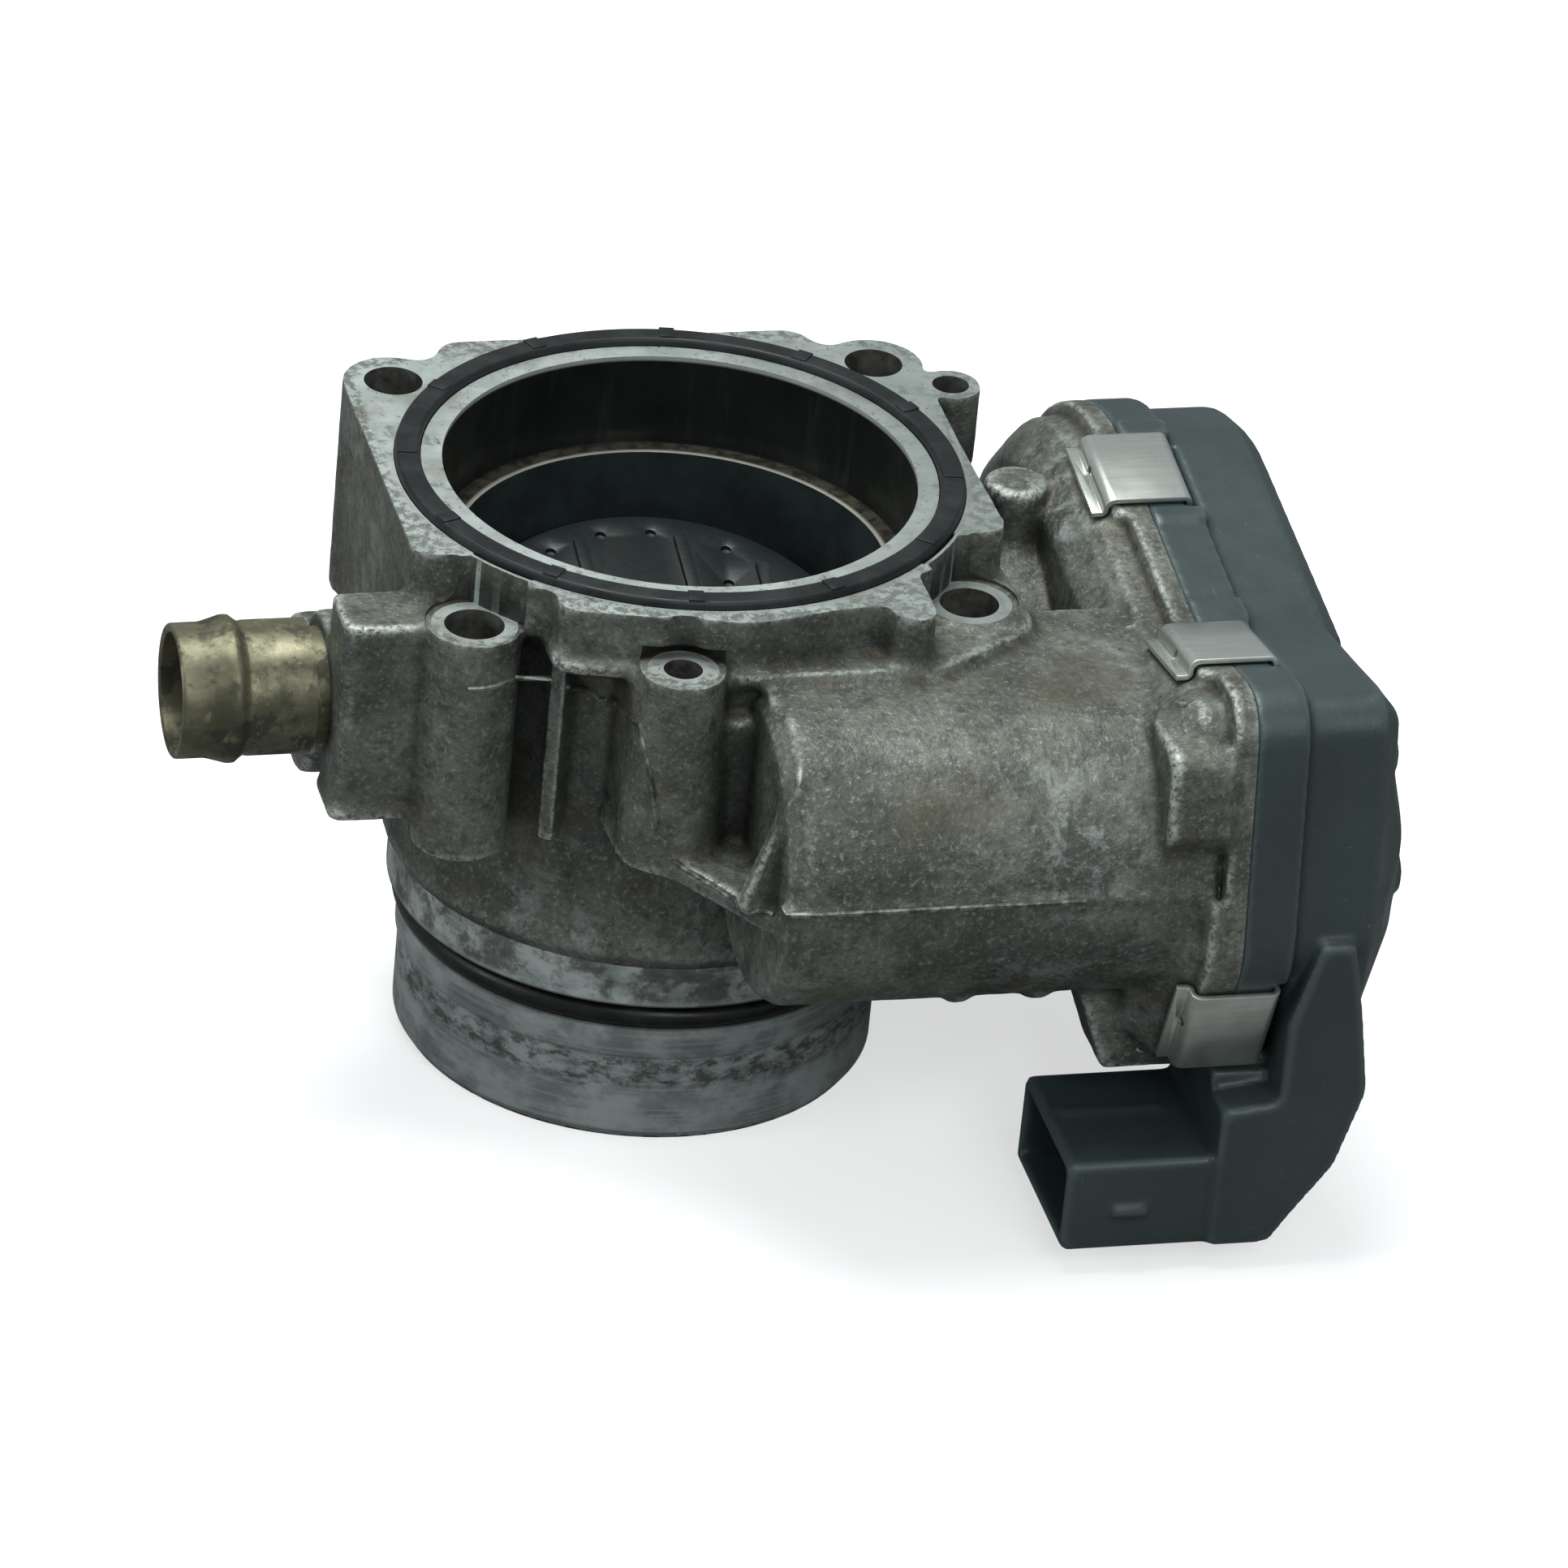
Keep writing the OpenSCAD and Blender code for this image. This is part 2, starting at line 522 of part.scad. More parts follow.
spring_wire_r = 0.9;
spring_coil_r = 12.4;
spring_turns = 3;
spring_steps = 24;
function ring_at(p, t, n, r) = [for (k = [0:7]) p + r * (cos(k * 45) * n + sin(k * 45) * cross(t, n))];
spring_path = concat(
    [[spring_x[0] + 0.9, spring_coil_r, -7], [spring_x[0] + 0.9, spring_coil_r, -3]],
    [for (k = [0:spring_turns * spring_steps]) let (a = k * 360 / spring_steps)
        [spring_x[0] + 0.9 + (spring_x[1] - spring_x[0] - 1.8) * k / (spring_turns * spring_steps),
         spring_coil_r * cos(a), spring_coil_r * sin(a)]],
    [[spring_x[1] - 0.9, spring_coil_r, 3], [spring_x[1] - 0.9, spring_coil_r, 7]]);
module sweep(path, r) {
    count = len(path);
    rings = [for (i = [0:count - 1])
        let (t = unit(path[min(i + 1, count - 1)] - path[max(i - 1, 0)]), n = unit(cross(t, [1, 0.001, 0])))
        each ring_at(path[i], t, n, r)];
    sides = [for (i = [0:count - 2], k = [0:7])
        [8 * (i + 1) + k, 8 * (i + 1) + (k + 1) % 8, 8 * i + (k + 1) % 8, 8 * i + k]];
    polyhedron(rings, concat(sides, [[for (k = [0:7]) k]], [[for (k = [7:-1:0]) 8 * (count - 1) + k]]));
}
module return_spring() color([0.5, 0.5, 0.52]) translate([0, 0, shaft_z]) sweep(spring_path, spring_wire_r);

module spring_bush() color([0.15, 0.15, 0.15]) tube_x(10.6, 8.45, 48, 55.8, throttle_c);

// ---- intermediate gear ----
axle_r = 2.5;
module intermediate_axle() color([0.72, 0.72, 0.72]) rod_x(axle_r - 0.005, 48.1, 77, middle_c);

module intermediate_gear() color([0.9, 0.88, 0.8]) difference() {
    union() {
        gear_x(sector_module, small_teeth, sector_add, sector_mesh_a + 180 + 180 / small_teeth,
               [58.3, large_x[0] + eps], middle_c);
        gear_x(pinion_module, large_teeth, pinion_add, pinion_mesh_a, large_x, middle_c);
        rod_x(5, large_x[1] - eps, 73.2, middle_c);
    }
    rod_x(axle_r + slip, 57, 75, middle_c);
    difference() {
        rod_x(15, 70.2, 75, middle_c);
        rod_x(6.4, 70, 76, middle_c);
    }
}

// ---- motor ----
module motor_can() color([0.6, 0.6, 0.58]) difference() {
    rod_x(can_r, 4.6, 54.8, motor_c);
    rod_x(can_r - 1.2, 5.8, 56, motor_c);
    rod_x(2.4, 4, 7, motor_c);
}
module motor_wave_spring() color([0.5, 0.5, 0.5]) tube_x(14, 10, 3.85, 4.5, motor_c);
module motor_magnets() color([0.22, 0.22, 0.24]) difference() {
    tube_x(can_r - 1.25, 13.4, 12, 46, motor_c);
    block([11, motor_y - 18, motor_z - 3], [47, motor_y + 18, motor_z + 3]);
}
module motor_bushes() color([0.7, 0.55, 0.3]) {
    tube_x(4, 1.63, 5.85, 9, motor_c);
    tube_x(4, 1.63, 55, 60, motor_c);
}
terminal_z = [motor_z + 5.8, motor_z - 5.8];
module motor_end_plate() color([0.12, 0.12, 0.12]) difference() {
    union() {
        rod_x(can_r - 0.1, 54.9, 58.1, motor_c);
        rod_x(5.4, 58, 60.4, motor_c);
        for (c = motor_ear_c) rod_x(3.9, floor_x + 0.02, 58.1, c);
        for (c = motor_ear_c)
            translate([0, c[0], c[1]]) rotate([atan2(motor_z - c[1], motor_y - c[0]), 0, 0])
                block([floor_x + 0.02, 0, -3.5], [58.1, 9, 3.5]);
    }
    rod_x(4.01, 54, 62, motor_c);
    for (c = motor_ear_c) rod_x(1.7, 56, 60, c);
    for (z = terminal_z) block([54, -65.2, z - 3.2], [60, -64.2, z + 3.2]);
}
module motor_brushes() color([0.15, 0.15, 0.15])
    for (low_z = [motor_z - 12, motor_z + 5.25])
        block([48.6, motor_y - 2.2, low_z], [52.8, motor_y + 2.2, low_z + 6.75]);
module motor_terminals() color([0.75, 0.62, 0.3]) for (z = terminal_z)
    block([54.95, -65.1, z - 3.1], [71, -64.3, z + 3.1]);
module motor_screws() color([0.55, 0.55, 0.55]) for (c = motor_ear_c) {
    difference() {
        rod_x(3, 58.12, 60.6, c);
        translate([59.4, c[0], c[1]]) rotate([0, 90, 0]) cylinder(r = 1.6, h = 2, $fn = 6);
    }
    rod_x(1.55, 49.5, 58.2, c);
}
module motor_shaft() color([0.75, 0.75, 0.75]) rod_x(1.6, 6.3, 73.4, motor_c);
module armature_core() color([0.4, 0.4, 0.42]) difference() {
    rod_x(12.8, 14, 41, motor_c);
    rod_x(1.605, 13, 42, motor_c);
    for (k = [0:9]) translate([0, motor_y, motor_z]) rotate([k * 36, 0, 0]) {
        block([13, 9.5, -0.9], [42, 14, 0.9]);
        rod_x(2.1, 13, 42, [8.4, 0]);
    }
}
module armature_winding() color([0.65, 0.35, 0.18]) {
    for (x = [[9.6, 13.9], [41.1, 45.6]]) tube_x(11, 3.2, x[0], x[1], motor_c);
    for (k = [0:9])
        translate([0, motor_y, motor_z]) rotate([k * 36, 0, 0]) rod_x(1.9, 13.8, 41.2, [8.4, 0]);
}
module commutator() color([0.75, 0.5, 0.3]) difference() {
    tube_x(5, 1.605, 47, 53.8, motor_c);
    for (k = [0:9])
        translate([0, motor_y, motor_z]) rotate([k * 36 + 18, 0, 0]) block([46, 4, -0.2], [55, 6, 0.2]);
}
module motor_pinion() color([0.72, 0.58, 0.3]) difference() {
    gear_x(pinion_module, pinion_teeth, pinion_add, pinion_mesh_a + 180 + 180 / pinion_teeth,
           pinion_x, motor_c);
    rod_x(1.605, 60, 80, motor_c);
}

// ---- cover ----
rim_x = joint_x + rim_t;
dome_pts = [[-51, -11], [-67, -26], [-66, -42], [-58, -50], [-47.5, -42], [-47.5, -13]];
dome_radii = [4, 6, 5, 4, 4, 3];
// Socket, and the heel that carries it, as outlines in X and Z
module socket_outline() polygon(rounded(
    [[socket_x, socket_z[0]], [joint_x + 4, socket_z[0]],
     [joint_x + 4, socket_z[1]], [socket_x, socket_z[1]]], [1, 0.3, 0.3, 1]));
module heel_outline() polygon(rounded(
    [[joint_x + 0.02, socket_z[0]], [75.5, socket_z[0]], [78, -83], [84, -74.5], [87.4, -62.5], [85.4, -50],
     [83, -38], [78, -38], [74.6, -51], [74.6, -63.5], [joint_x + 0.02, -64.5]],
    [1, 2, 4, 6, 6, 8, 1, 1, 2, 1, 1]));

// Tabs beside the upper clips: start along Y, width, lean, reach past the rim
cover_tabs = [[-15, 2.8, 8.4, 0.6], [-38.4, 5, 8.4, 0.6], [4.6, 4, 6, 0]];
module cover_outside() {
    along_x(joint_x + 0.02, rim_x) polygon(case_outline(0));
    along_x(rim_x - eps, 85.6) polygon(case_outline(1.7));
    hull() {
        along_x(85.5, 85.6) rear_half() polygon(case_outline(1.7));
        along_x(cover_x - 0.1, cover_x) rear_half() polygon(case_outline(4.2));
    }
    hull() {
        along_x(85.5, 85.6) front_half() polygon(case_outline(1.7));
        along_x(cover_x - 0.1, cover_x) front_half() polygon(case_outline(5.2));
    }
    hull() {
        along_x(84.5, 85.5) polygon(case_outline_front(1.7));
        along_x(dome_x - 0.2, dome_x) polygon(rounded(dome_pts, dome_radii));
    }
    for (p = [[-55, -19], [-62.5, -34]]) rod_x(3.5, dome_x - 1, dome_x + 1.2, p);
    along_y(socket_y[0], socket_y[1]) socket_outline();
    along_y(socket_y[0] - 1, socket_y[1]) heel_outline();
    // tabs beside the two upper clips and below the front one
    for (t = cover_tabs) translate([joint_x + 0.02, t[0], case_edge_z(t[0])]) rotate([t[2], 0, 0])
        block([0, 0, -3], [rim_t + t[3], t[1], 0.5]);
    block([joint_x + 0.02, -69.8, -65], [rim_x, -64, -62]);
    // latch ramp and coding rib on the socket's front
    along_x(52, 57) polygon([[socket_y[0] + 1, -82.5], [socket_y[0] - 1.3, -80.8], [socket_y[0] + 1, -78]]);
    block([47, -62, socket_z[1] - 1], [62, -60.5, socket_z[1] + 0.5]);
}
// The part of the case's outline in front of the dome's rear edge
function case_outline_front(d) = rounded(
    [[-70.4 + d, -0.6 - d], [-76.1 + d, -41], [-73, -51], [-60, -60], [-42, -48], [-42, -6 - d]],
    [7 - d, 8, 6, 5, 4, 3]);

module clip_pocket(c) translate([0, c[0], c[1]]) rotate([c[2], 0, 0])
    block([72.2, -4.2, -clip_len / 2 - 0.6], [rim_x + 0.5, 6, clip_len / 2 + 0.6]);

module cover_shell() difference() {
    cover_outside();
    along_x(joint_x - 1, 84.8) polygon(case_outline(4.6));
    along_x(84, 88.6) polygon(rounded(
        [[-56, -16], [-64.5, -27], [-64, -40], [-58, -46], [-51, -41], [-51, -16]], [3, 4, 4, 3, 3, 3]));
    for (c = clips) clip_pocket(c);
    block([socket_x - 1, socket_y[0] + socket_wall, socket_z[0] + socket_wall],
          [socket_floor_x, socket_y[1] - socket_wall, socket_z[1] - socket_wall]);
    // slots that the connector pins pass through
    for (k = [0:pin_count - 1]) block([socket_floor_x - 1, pin_y(k) - 0.55, pin_z - 0.55],
                                      [75, pin_y(k) + 0.55, pin_z + 0.55]);
    // room for the lead frame
    block([70.5, socket_y[0] + 4, -83], [76.8, socket_y[1] - 4, -66]);
    block([70.5, -66.8, -67], [76.8, -49, -50]);
}
module cover_posts() {
    // socket for the intermediate axle's free end
    tube_x(5, 2.55, 74.2, 84.9, middle_c);
    // posts that carry the sensor board
    for (p = [[-12, -22], [14, -22], [-12, -48], [14, -48]]) rod_x(2.2, 80.4, 84.9, p);
}

module gear_cover() color([0.2, 0.24, 0.27]) {
    cover_shell();
    cover_posts();
}

module cover_seal() color([0.05, 0.05, 0.05]) difference() {
    along_x(joint_x - 1.35, joint_x) polygon(case_outline(2.1));
    along_x(joint_x - 2, joint_x + 2) polygon(case_outline(3.9));
}

clip_t = 0.8;
clip_up = 0.35;
clip_x = [60, 73.2];
module spring_clips() color([0.8, 0.8, 0.78]) for (c = clips)
    translate([0, c[0], c[1]]) rotate([c[2], 0, 0]) {
        block([clip_x[0], clip_up, -clip_len / 2], [clip_x[1], clip_up + clip_t, clip_len / 2]);
        block([clip_x[0], -1.9, -clip_len / 2], [clip_x[0] + clip_t, clip_up + eps, clip_len / 2]);
        block([clip_x[1] - clip_t, -2.8, -clip_len / 2], [clip_x[1], clip_up + eps, clip_len / 2]);
        block([clip_x[0] - 1.7, -1.9, -clip_len / 2 + 1],
              [clip_x[0] + eps, -1.9 + clip_t, clip_len / 2 - 1]);
    }

module sensor_board() color([0.1, 0.3, 0.2]) {
    block([78.8, -16, -54], [80.3, 18, -18]);
    block([76.6, -4, -38], [78.81, 4, -30]);
    for (p = [[-10, -26], [9, -26], [-8, -47]])
        block([77.6, p[0] - 2, p[1] - 2], [78.81, p[0] + 2, p[1] + 2]);
}

pin_z = (socket_z[0] + socket_z[1]) / 2;
function pin_y(k) = (socket_y[0] + socket_y[1]) / 2 + (k - (pin_count - 1) / 2) * pin_pitch;
module connector_pins() color([0.75, 0.7, 0.5]) for (k = [0:pin_count - 1])
    block([50, pin_y(k) - 0.5, pin_z - 0.5], [73.2, pin_y(k) + 0.5, pin_z + 0.5]);

// Two wide strips to the motor's blades, four narrow ones towards the sensor board
module lead_frame() color([0.75, 0.62, 0.3]) {
    block([71.3, -66.2, -79], [72.2, -64.2, terminal_z[1] + 3]);
    block([71.3, -63.4, -79], [72.2, -61.4, terminal_z[0] + 3]);
    block([71.3, -65.2, terminal_z[0] - 2], [72.2, -61.4, terminal_z[0] + 3]);
    for (k = [0:3]) {
        y = -60.4 + 1.4 * k;
        block([73.6, y, -79], [74.4, y + 0.8, -58.6 - 1.4 * k]);
        block([73.6, y, -59.4 - 1.4 * k], [74.4, -19, -58.6 - 1.4 * k]);
    }
}

housing();
inlet_seal();
outlet_o_ring();
hose_nipple();
throttle_plate();
throttle_shaft();
plate_screws();
needle_bearing_left();
needle_bearing_right();
shaft_seals();
shaft_end_plug();
thrust_washer();
sector_gear();
sensor_magnet();
return_spring();
spring_bush();
intermediate_axle();
intermediate_gear();
motor_can();
motor_magnets();
motor_wave_spring();
motor_bushes();
motor_end_plate();
motor_brushes();
motor_terminals();
motor_screws();
motor_shaft();
armature_core();
armature_winding();
commutator();
motor_pinion();
gear_cover();
cover_seal();
spring_clips();
sensor_board();
lead_frame();
connector_pins();
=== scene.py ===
"""Looks of the throttle body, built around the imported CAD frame. Lengths in metres unless named _mm."""
import json
import math

import bmesh
import bpy
import numpy as np
from mathutils import Matrix, Vector, noise
from mathutils.bvhtree import BVHTree
from mathutils.kdtree import KDTree


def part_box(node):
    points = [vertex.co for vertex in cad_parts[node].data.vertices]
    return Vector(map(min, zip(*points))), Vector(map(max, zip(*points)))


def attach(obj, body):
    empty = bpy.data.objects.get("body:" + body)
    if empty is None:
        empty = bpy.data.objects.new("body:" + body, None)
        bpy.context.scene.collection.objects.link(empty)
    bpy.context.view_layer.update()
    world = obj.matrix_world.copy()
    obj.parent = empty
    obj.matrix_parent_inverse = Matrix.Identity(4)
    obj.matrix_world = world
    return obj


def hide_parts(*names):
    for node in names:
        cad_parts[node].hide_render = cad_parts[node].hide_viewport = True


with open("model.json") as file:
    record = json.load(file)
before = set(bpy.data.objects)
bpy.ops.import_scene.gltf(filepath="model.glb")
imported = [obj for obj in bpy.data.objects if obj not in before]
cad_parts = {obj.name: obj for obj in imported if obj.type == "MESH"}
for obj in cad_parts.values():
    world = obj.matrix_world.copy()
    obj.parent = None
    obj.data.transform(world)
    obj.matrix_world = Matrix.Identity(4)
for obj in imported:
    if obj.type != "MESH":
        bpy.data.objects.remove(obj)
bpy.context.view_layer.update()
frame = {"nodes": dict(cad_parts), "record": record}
nodes = frame["nodes"]
record = frame["record"]
MM = 0.001

# ---- places and sizes taken from the frame ----
mounts = {m["name"]: m for m in record["mounts"]}
joints = {j["name"]: j for j in record["behaviour"]["joints"]}


def place(thing):
    return Vector(thing["pos_m"])


inlet = mounts["inlet_bore"]
inlet_r = inlet["dims"]["r_mm"] * MM
inlet_depth = inlet["dims"]["length_mm"] * MM
bolts = mounts["flange_bolts"]["dims"]
bolt_x = bolts["spacing_x_mm"] * MM / 2
bolt_y = bolts["spacing_y_mm"] * MM / 2
bolt_r = bolts["hole_r_mm"] * MM
throttle_c = place(joints["throttle_turn"])
middle_c = place(joints["reduction_turn"])
motor_c = place(joints["rotor_turn"])
front_screw = place(mounts["front_screw_hole"])
rear_screw = place(mounts["rear_screw_hole"])
nipple_c = place(mounts["nipple_hose_seat"])
nipple_r = mounts["nipple_hose_seat"]["dims"]["r_mm"] * MM
spigot_r = mounts["outlet_spigot"]["dims"]["r_mm"] * MM
floor_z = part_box("housing")[0].z
bore_r = 31 * MM
joint_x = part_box("cover_seal")[1].x
case_floor_x = 57.5 * MM
seat_z = -7 * MM
screw_post_top = front_screw.z + 8.5 * MM

# ---- camera, light and floor ----
VIEW_AZIMUTH, VIEW_ELEVATION, VIEW_ROLL = -16.5, 30.16, 5.73
VIEW_DISTANCE = 1.38537
VIEW_CENTRE = (14.73 * MM, -44.8 * MM)
LENS_MM, SENSOR_MM = 223.6, 36.0


def add_camera():
    a, e, r = (math.radians(v) for v in (VIEW_AZIMUTH, VIEW_ELEVATION, VIEW_ROLL))
    back = Vector((math.sin(a) * math.cos(e), -math.cos(a) * math.cos(e), math.sin(e)))
    level = Vector((math.cos(a), math.sin(a), 0))
    upright = back.cross(level)
    right = math.cos(r) * level + math.sin(r) * upright
    up = -math.sin(r) * level + math.cos(r) * upright
    camera = bpy.data.objects.new("camera", bpy.data.cameras.new("camera"))
    bpy.context.scene.collection.objects.link(camera)
    camera.data.lens = LENS_MM
    camera.data.sensor_width = SENSOR_MM
    camera.data.clip_start = 0.05
    camera.data.clip_end = 20
    turn = Matrix((right, up, back)).transposed().to_4x4()
    spot = back * VIEW_DISTANCE + right * VIEW_CENTRE[0] + up * VIEW_CENTRE[1]
    camera.matrix_world = Matrix.Translation(spot) @ turn
    bpy.context.scene.camera = camera


def add_light(name, spot, aim, size, power, colour=(1, 1, 1)):
    lamp = bpy.data.lights.new(name, "AREA")
    lamp.shape = "DISK"
    lamp.size = size
    lamp.energy = power
    lamp.color = colour
    holder = bpy.data.objects.new(name, lamp)
    bpy.context.scene.collection.objects.link(holder)
    holder.location = spot
    holder.rotation_euler = (Vector(aim) - Vector(spot)).to_track_quat("-Z", "Y").to_euler()


def add_floor():
    """Pale paper floor: white to the eye, but it throws little light back up onto the part."""
    mesh = bpy.data.meshes.new("floor")
    half = 3.0
    mesh.from_pydata([(-half, -half, floor_z), (half, -half, floor_z), (half, half, floor_z), (-half, half, floor_z)],
                     [], [(0, 1, 2, 3)])
    floor = bpy.data.objects.new("floor", mesh)
    bpy.context.scene.collection.objects.link(floor)
    paper = bpy.data.materials.new("floor_paper")
    paper.use_nodes = True
    tree = paper.node_tree
    tree.nodes.remove(tree.nodes["Principled BSDF"])
    seen, thrown, glow = (tree.nodes.new(kind) for kind in
                          ("ShaderNodeBsdfDiffuse", "ShaderNodeBsdfDiffuse", "ShaderNodeEmission"))
    seen.inputs["Color"].default_value = (0.62, 0.63, 0.63, 1)
    thrown.inputs["Color"].default_value = (0.2, 0.2, 0.2, 1)
    glow.inputs["Color"].default_value = (1, 1, 1, 1)
    glow.inputs["Strength"].default_value = 0.6
    total, choice = tree.nodes.new("ShaderNodeAddShader"), tree.nodes.new("ShaderNodeMixShader")
    rays = tree.nodes.new("ShaderNodeLightPath")
    tree.links.new(seen.outputs[0], total.inputs[0])
    tree.links.new(glow.outputs[0], total.inputs[1])
    tree.links.new(rays.outputs["Is Camera Ray"], choice.inputs[0])
    tree.links.new(thrown.outputs[0], choice.inputs[1])
    tree.links.new(total.outputs[0], choice.inputs[2])
    tree.links.new(choice.outputs[0], tree.nodes["Material Output"].inputs["Surface"])
    mesh.materials.append(paper)


def add_studio():
    world = bpy.data.worlds.new("studio")
    bpy.context.scene.world = world
    world.use_nodes = True
    backdrop = world.node_tree.nodes["Background"]
    backdrop.inputs["Color"].default_value = (0.9, 0.97, 1.0, 1)
    backdrop.inputs["Strength"].default_value = 0.34
    middle = (0.01, -0.02, -0.04)
    add_light("key", (-0.12, 0.1, 0.85), middle, 0.55, 8.0, (0.97, 1.0, 0.98))
    add_light("front", (0.1, -0.75, 0.5), middle, 0.5, 2.2, (0.95, 1.0, 0.99))
    add_light("side", (-0.8, -0.1, 0.3), middle, 0.4, 1.2, (0.95, 1.0, 0.99))
    bpy.context.scene.view_settings.view_transform = "Standard"
    bpy.context.scene.view_settings.look = "None"
    add_floor()


# ---- materials ----
class Finish:
    """A Principled material and the few nodes that vary its colour, roughness and surface."""

    def __init__(self, name, metallic=0.0, roughness=0.5, specular=0.5):
        self.material = bpy.data.materials.new(name)
        self.material.use_nodes = True
        self.tree = self.material.node_tree
        self.shader = self.tree.nodes["Principled BSDF"]
        self.shader.inputs["Metallic"].default_value = metallic
        self.shader.inputs["Roughness"].default_value = roughness
        self.shader.inputs["Specular IOR Level"].default_value = specular
        self.place = self.add("ShaderNodeTexCoord").outputs["Object"]

    def add(self, kind, **settings):
        node = self.tree.nodes.new(kind)
        for key, value in settings.items():
            setattr(node, key, value)
        return node

    def join(self, source, target):
        if isinstance(source, (int, float)):
            target.default_value = source
        elif isinstance(source, tuple):
            target.default_value = (*source, 1.0)[: len(target.default_value)]
        else:
            self.tree.links.new(source, target)

    def speckle(self, size_mm, detail=3.0, roughness=0.55, stretch=(1, 1, 1), distortion=0.0):
        """Soft noise from 0 to 1 whose blotches are about size_mm across."""
        mapping = self.add("ShaderNodeMapping")
        self.join(self.place, mapping.inputs["Vector"])
        mapping.inputs["Scale"].default_value = stretch
        texture = self.add("ShaderNodeTexNoise")
        self.join(mapping.outputs["Vector"], texture.inputs["Vector"])
        texture.inputs["Scale"].default_value = 1000 / size_mm
        texture.inputs["Detail"].default_value = detail
        texture.inputs["Roughness"].default_value = roughness
        texture.inputs["Distortion"].default_value = distortion
        return texture.outputs["Fac"]

    def step(self, value, low, high, to=(0.0, 1.0)):
        """Value mapped from low..high to the two numbers in to, smoothly and clamped."""
        node = self.add("ShaderNodeMapRange", interpolation_type="SMOOTHSTEP")
        self.join(value, node.inputs["Value"])
        node.inputs["From Min"].default_value = low
        node.inputs["From Max"].default_value = high
        node.inputs["To Min"].default_value = to[0]
        node.inputs["To Max"].default_value = to[1]
        return node.outputs["Result"]

    def maths(self, operation, a, b=0.0):
        node = self.add("ShaderNodeMath", operation=operation)
        self.join(a, node.inputs[0])
        self.join(b, node.inputs[1])
        return node.outputs["Value"]

    def times(self, a, b):
        return self.maths("MULTIPLY", a, b)

    def mix(self, factor, a, b):
        node = self.add("ShaderNodeMix", data_type="RGBA")
        self.join(factor, node.inputs[0])
        self.join(a, node.inputs[6])
        self.join(b, node.inputs[7])
        return node.outputs[2]

    def attribute(self, name):
        return self.add("ShaderNodeAttribute", attribute_name=name).outputs["Fac"]

    def shade_openness(self, reach_mm):
        """1 on an open surface, less in a deep corner; used to paint shade into corners."""
        node = self.add("ShaderNodeAmbientOcclusion", samples=6)
        node.inputs["Distance"].default_value = reach_mm * MM
        return node.outputs["AO"]

    def radius(self):
        """Distance from the bore's axis."""
        x, y = self.part("place", "X"), self.part("place", "Y")
        return self.maths("SQRT", self.maths("ADD", self.times(x, x), self.times(y, y)))

    def part(self, which, axis):
        """One component of the object-space place, or of the surface normal."""
        split = self.add("ShaderNodeSeparateXYZ")
        source = self.place if which == "place" else self.add("ShaderNodeTexCoord").outputs["Normal"]
        self.join(source, split.inputs["Vector"])
        return split.outputs[axis]

    def colour(self, source):
        self.join(source, self.shader.inputs["Base Color"])

    def rough(self, source):
        self.join(source, self.shader.inputs["Roughness"])

    def bump(self, height, depth_mm, strength=1.0):
        node = self.add("ShaderNodeBump")
        node.inputs["Strength"].default_value = strength
        node.inputs["Distance"].default_value = depth_mm * MM
        self.join(height, node.inputs["Height"])
        self.join(node.outputs["Normal"], self.shader.inputs["Normal"])


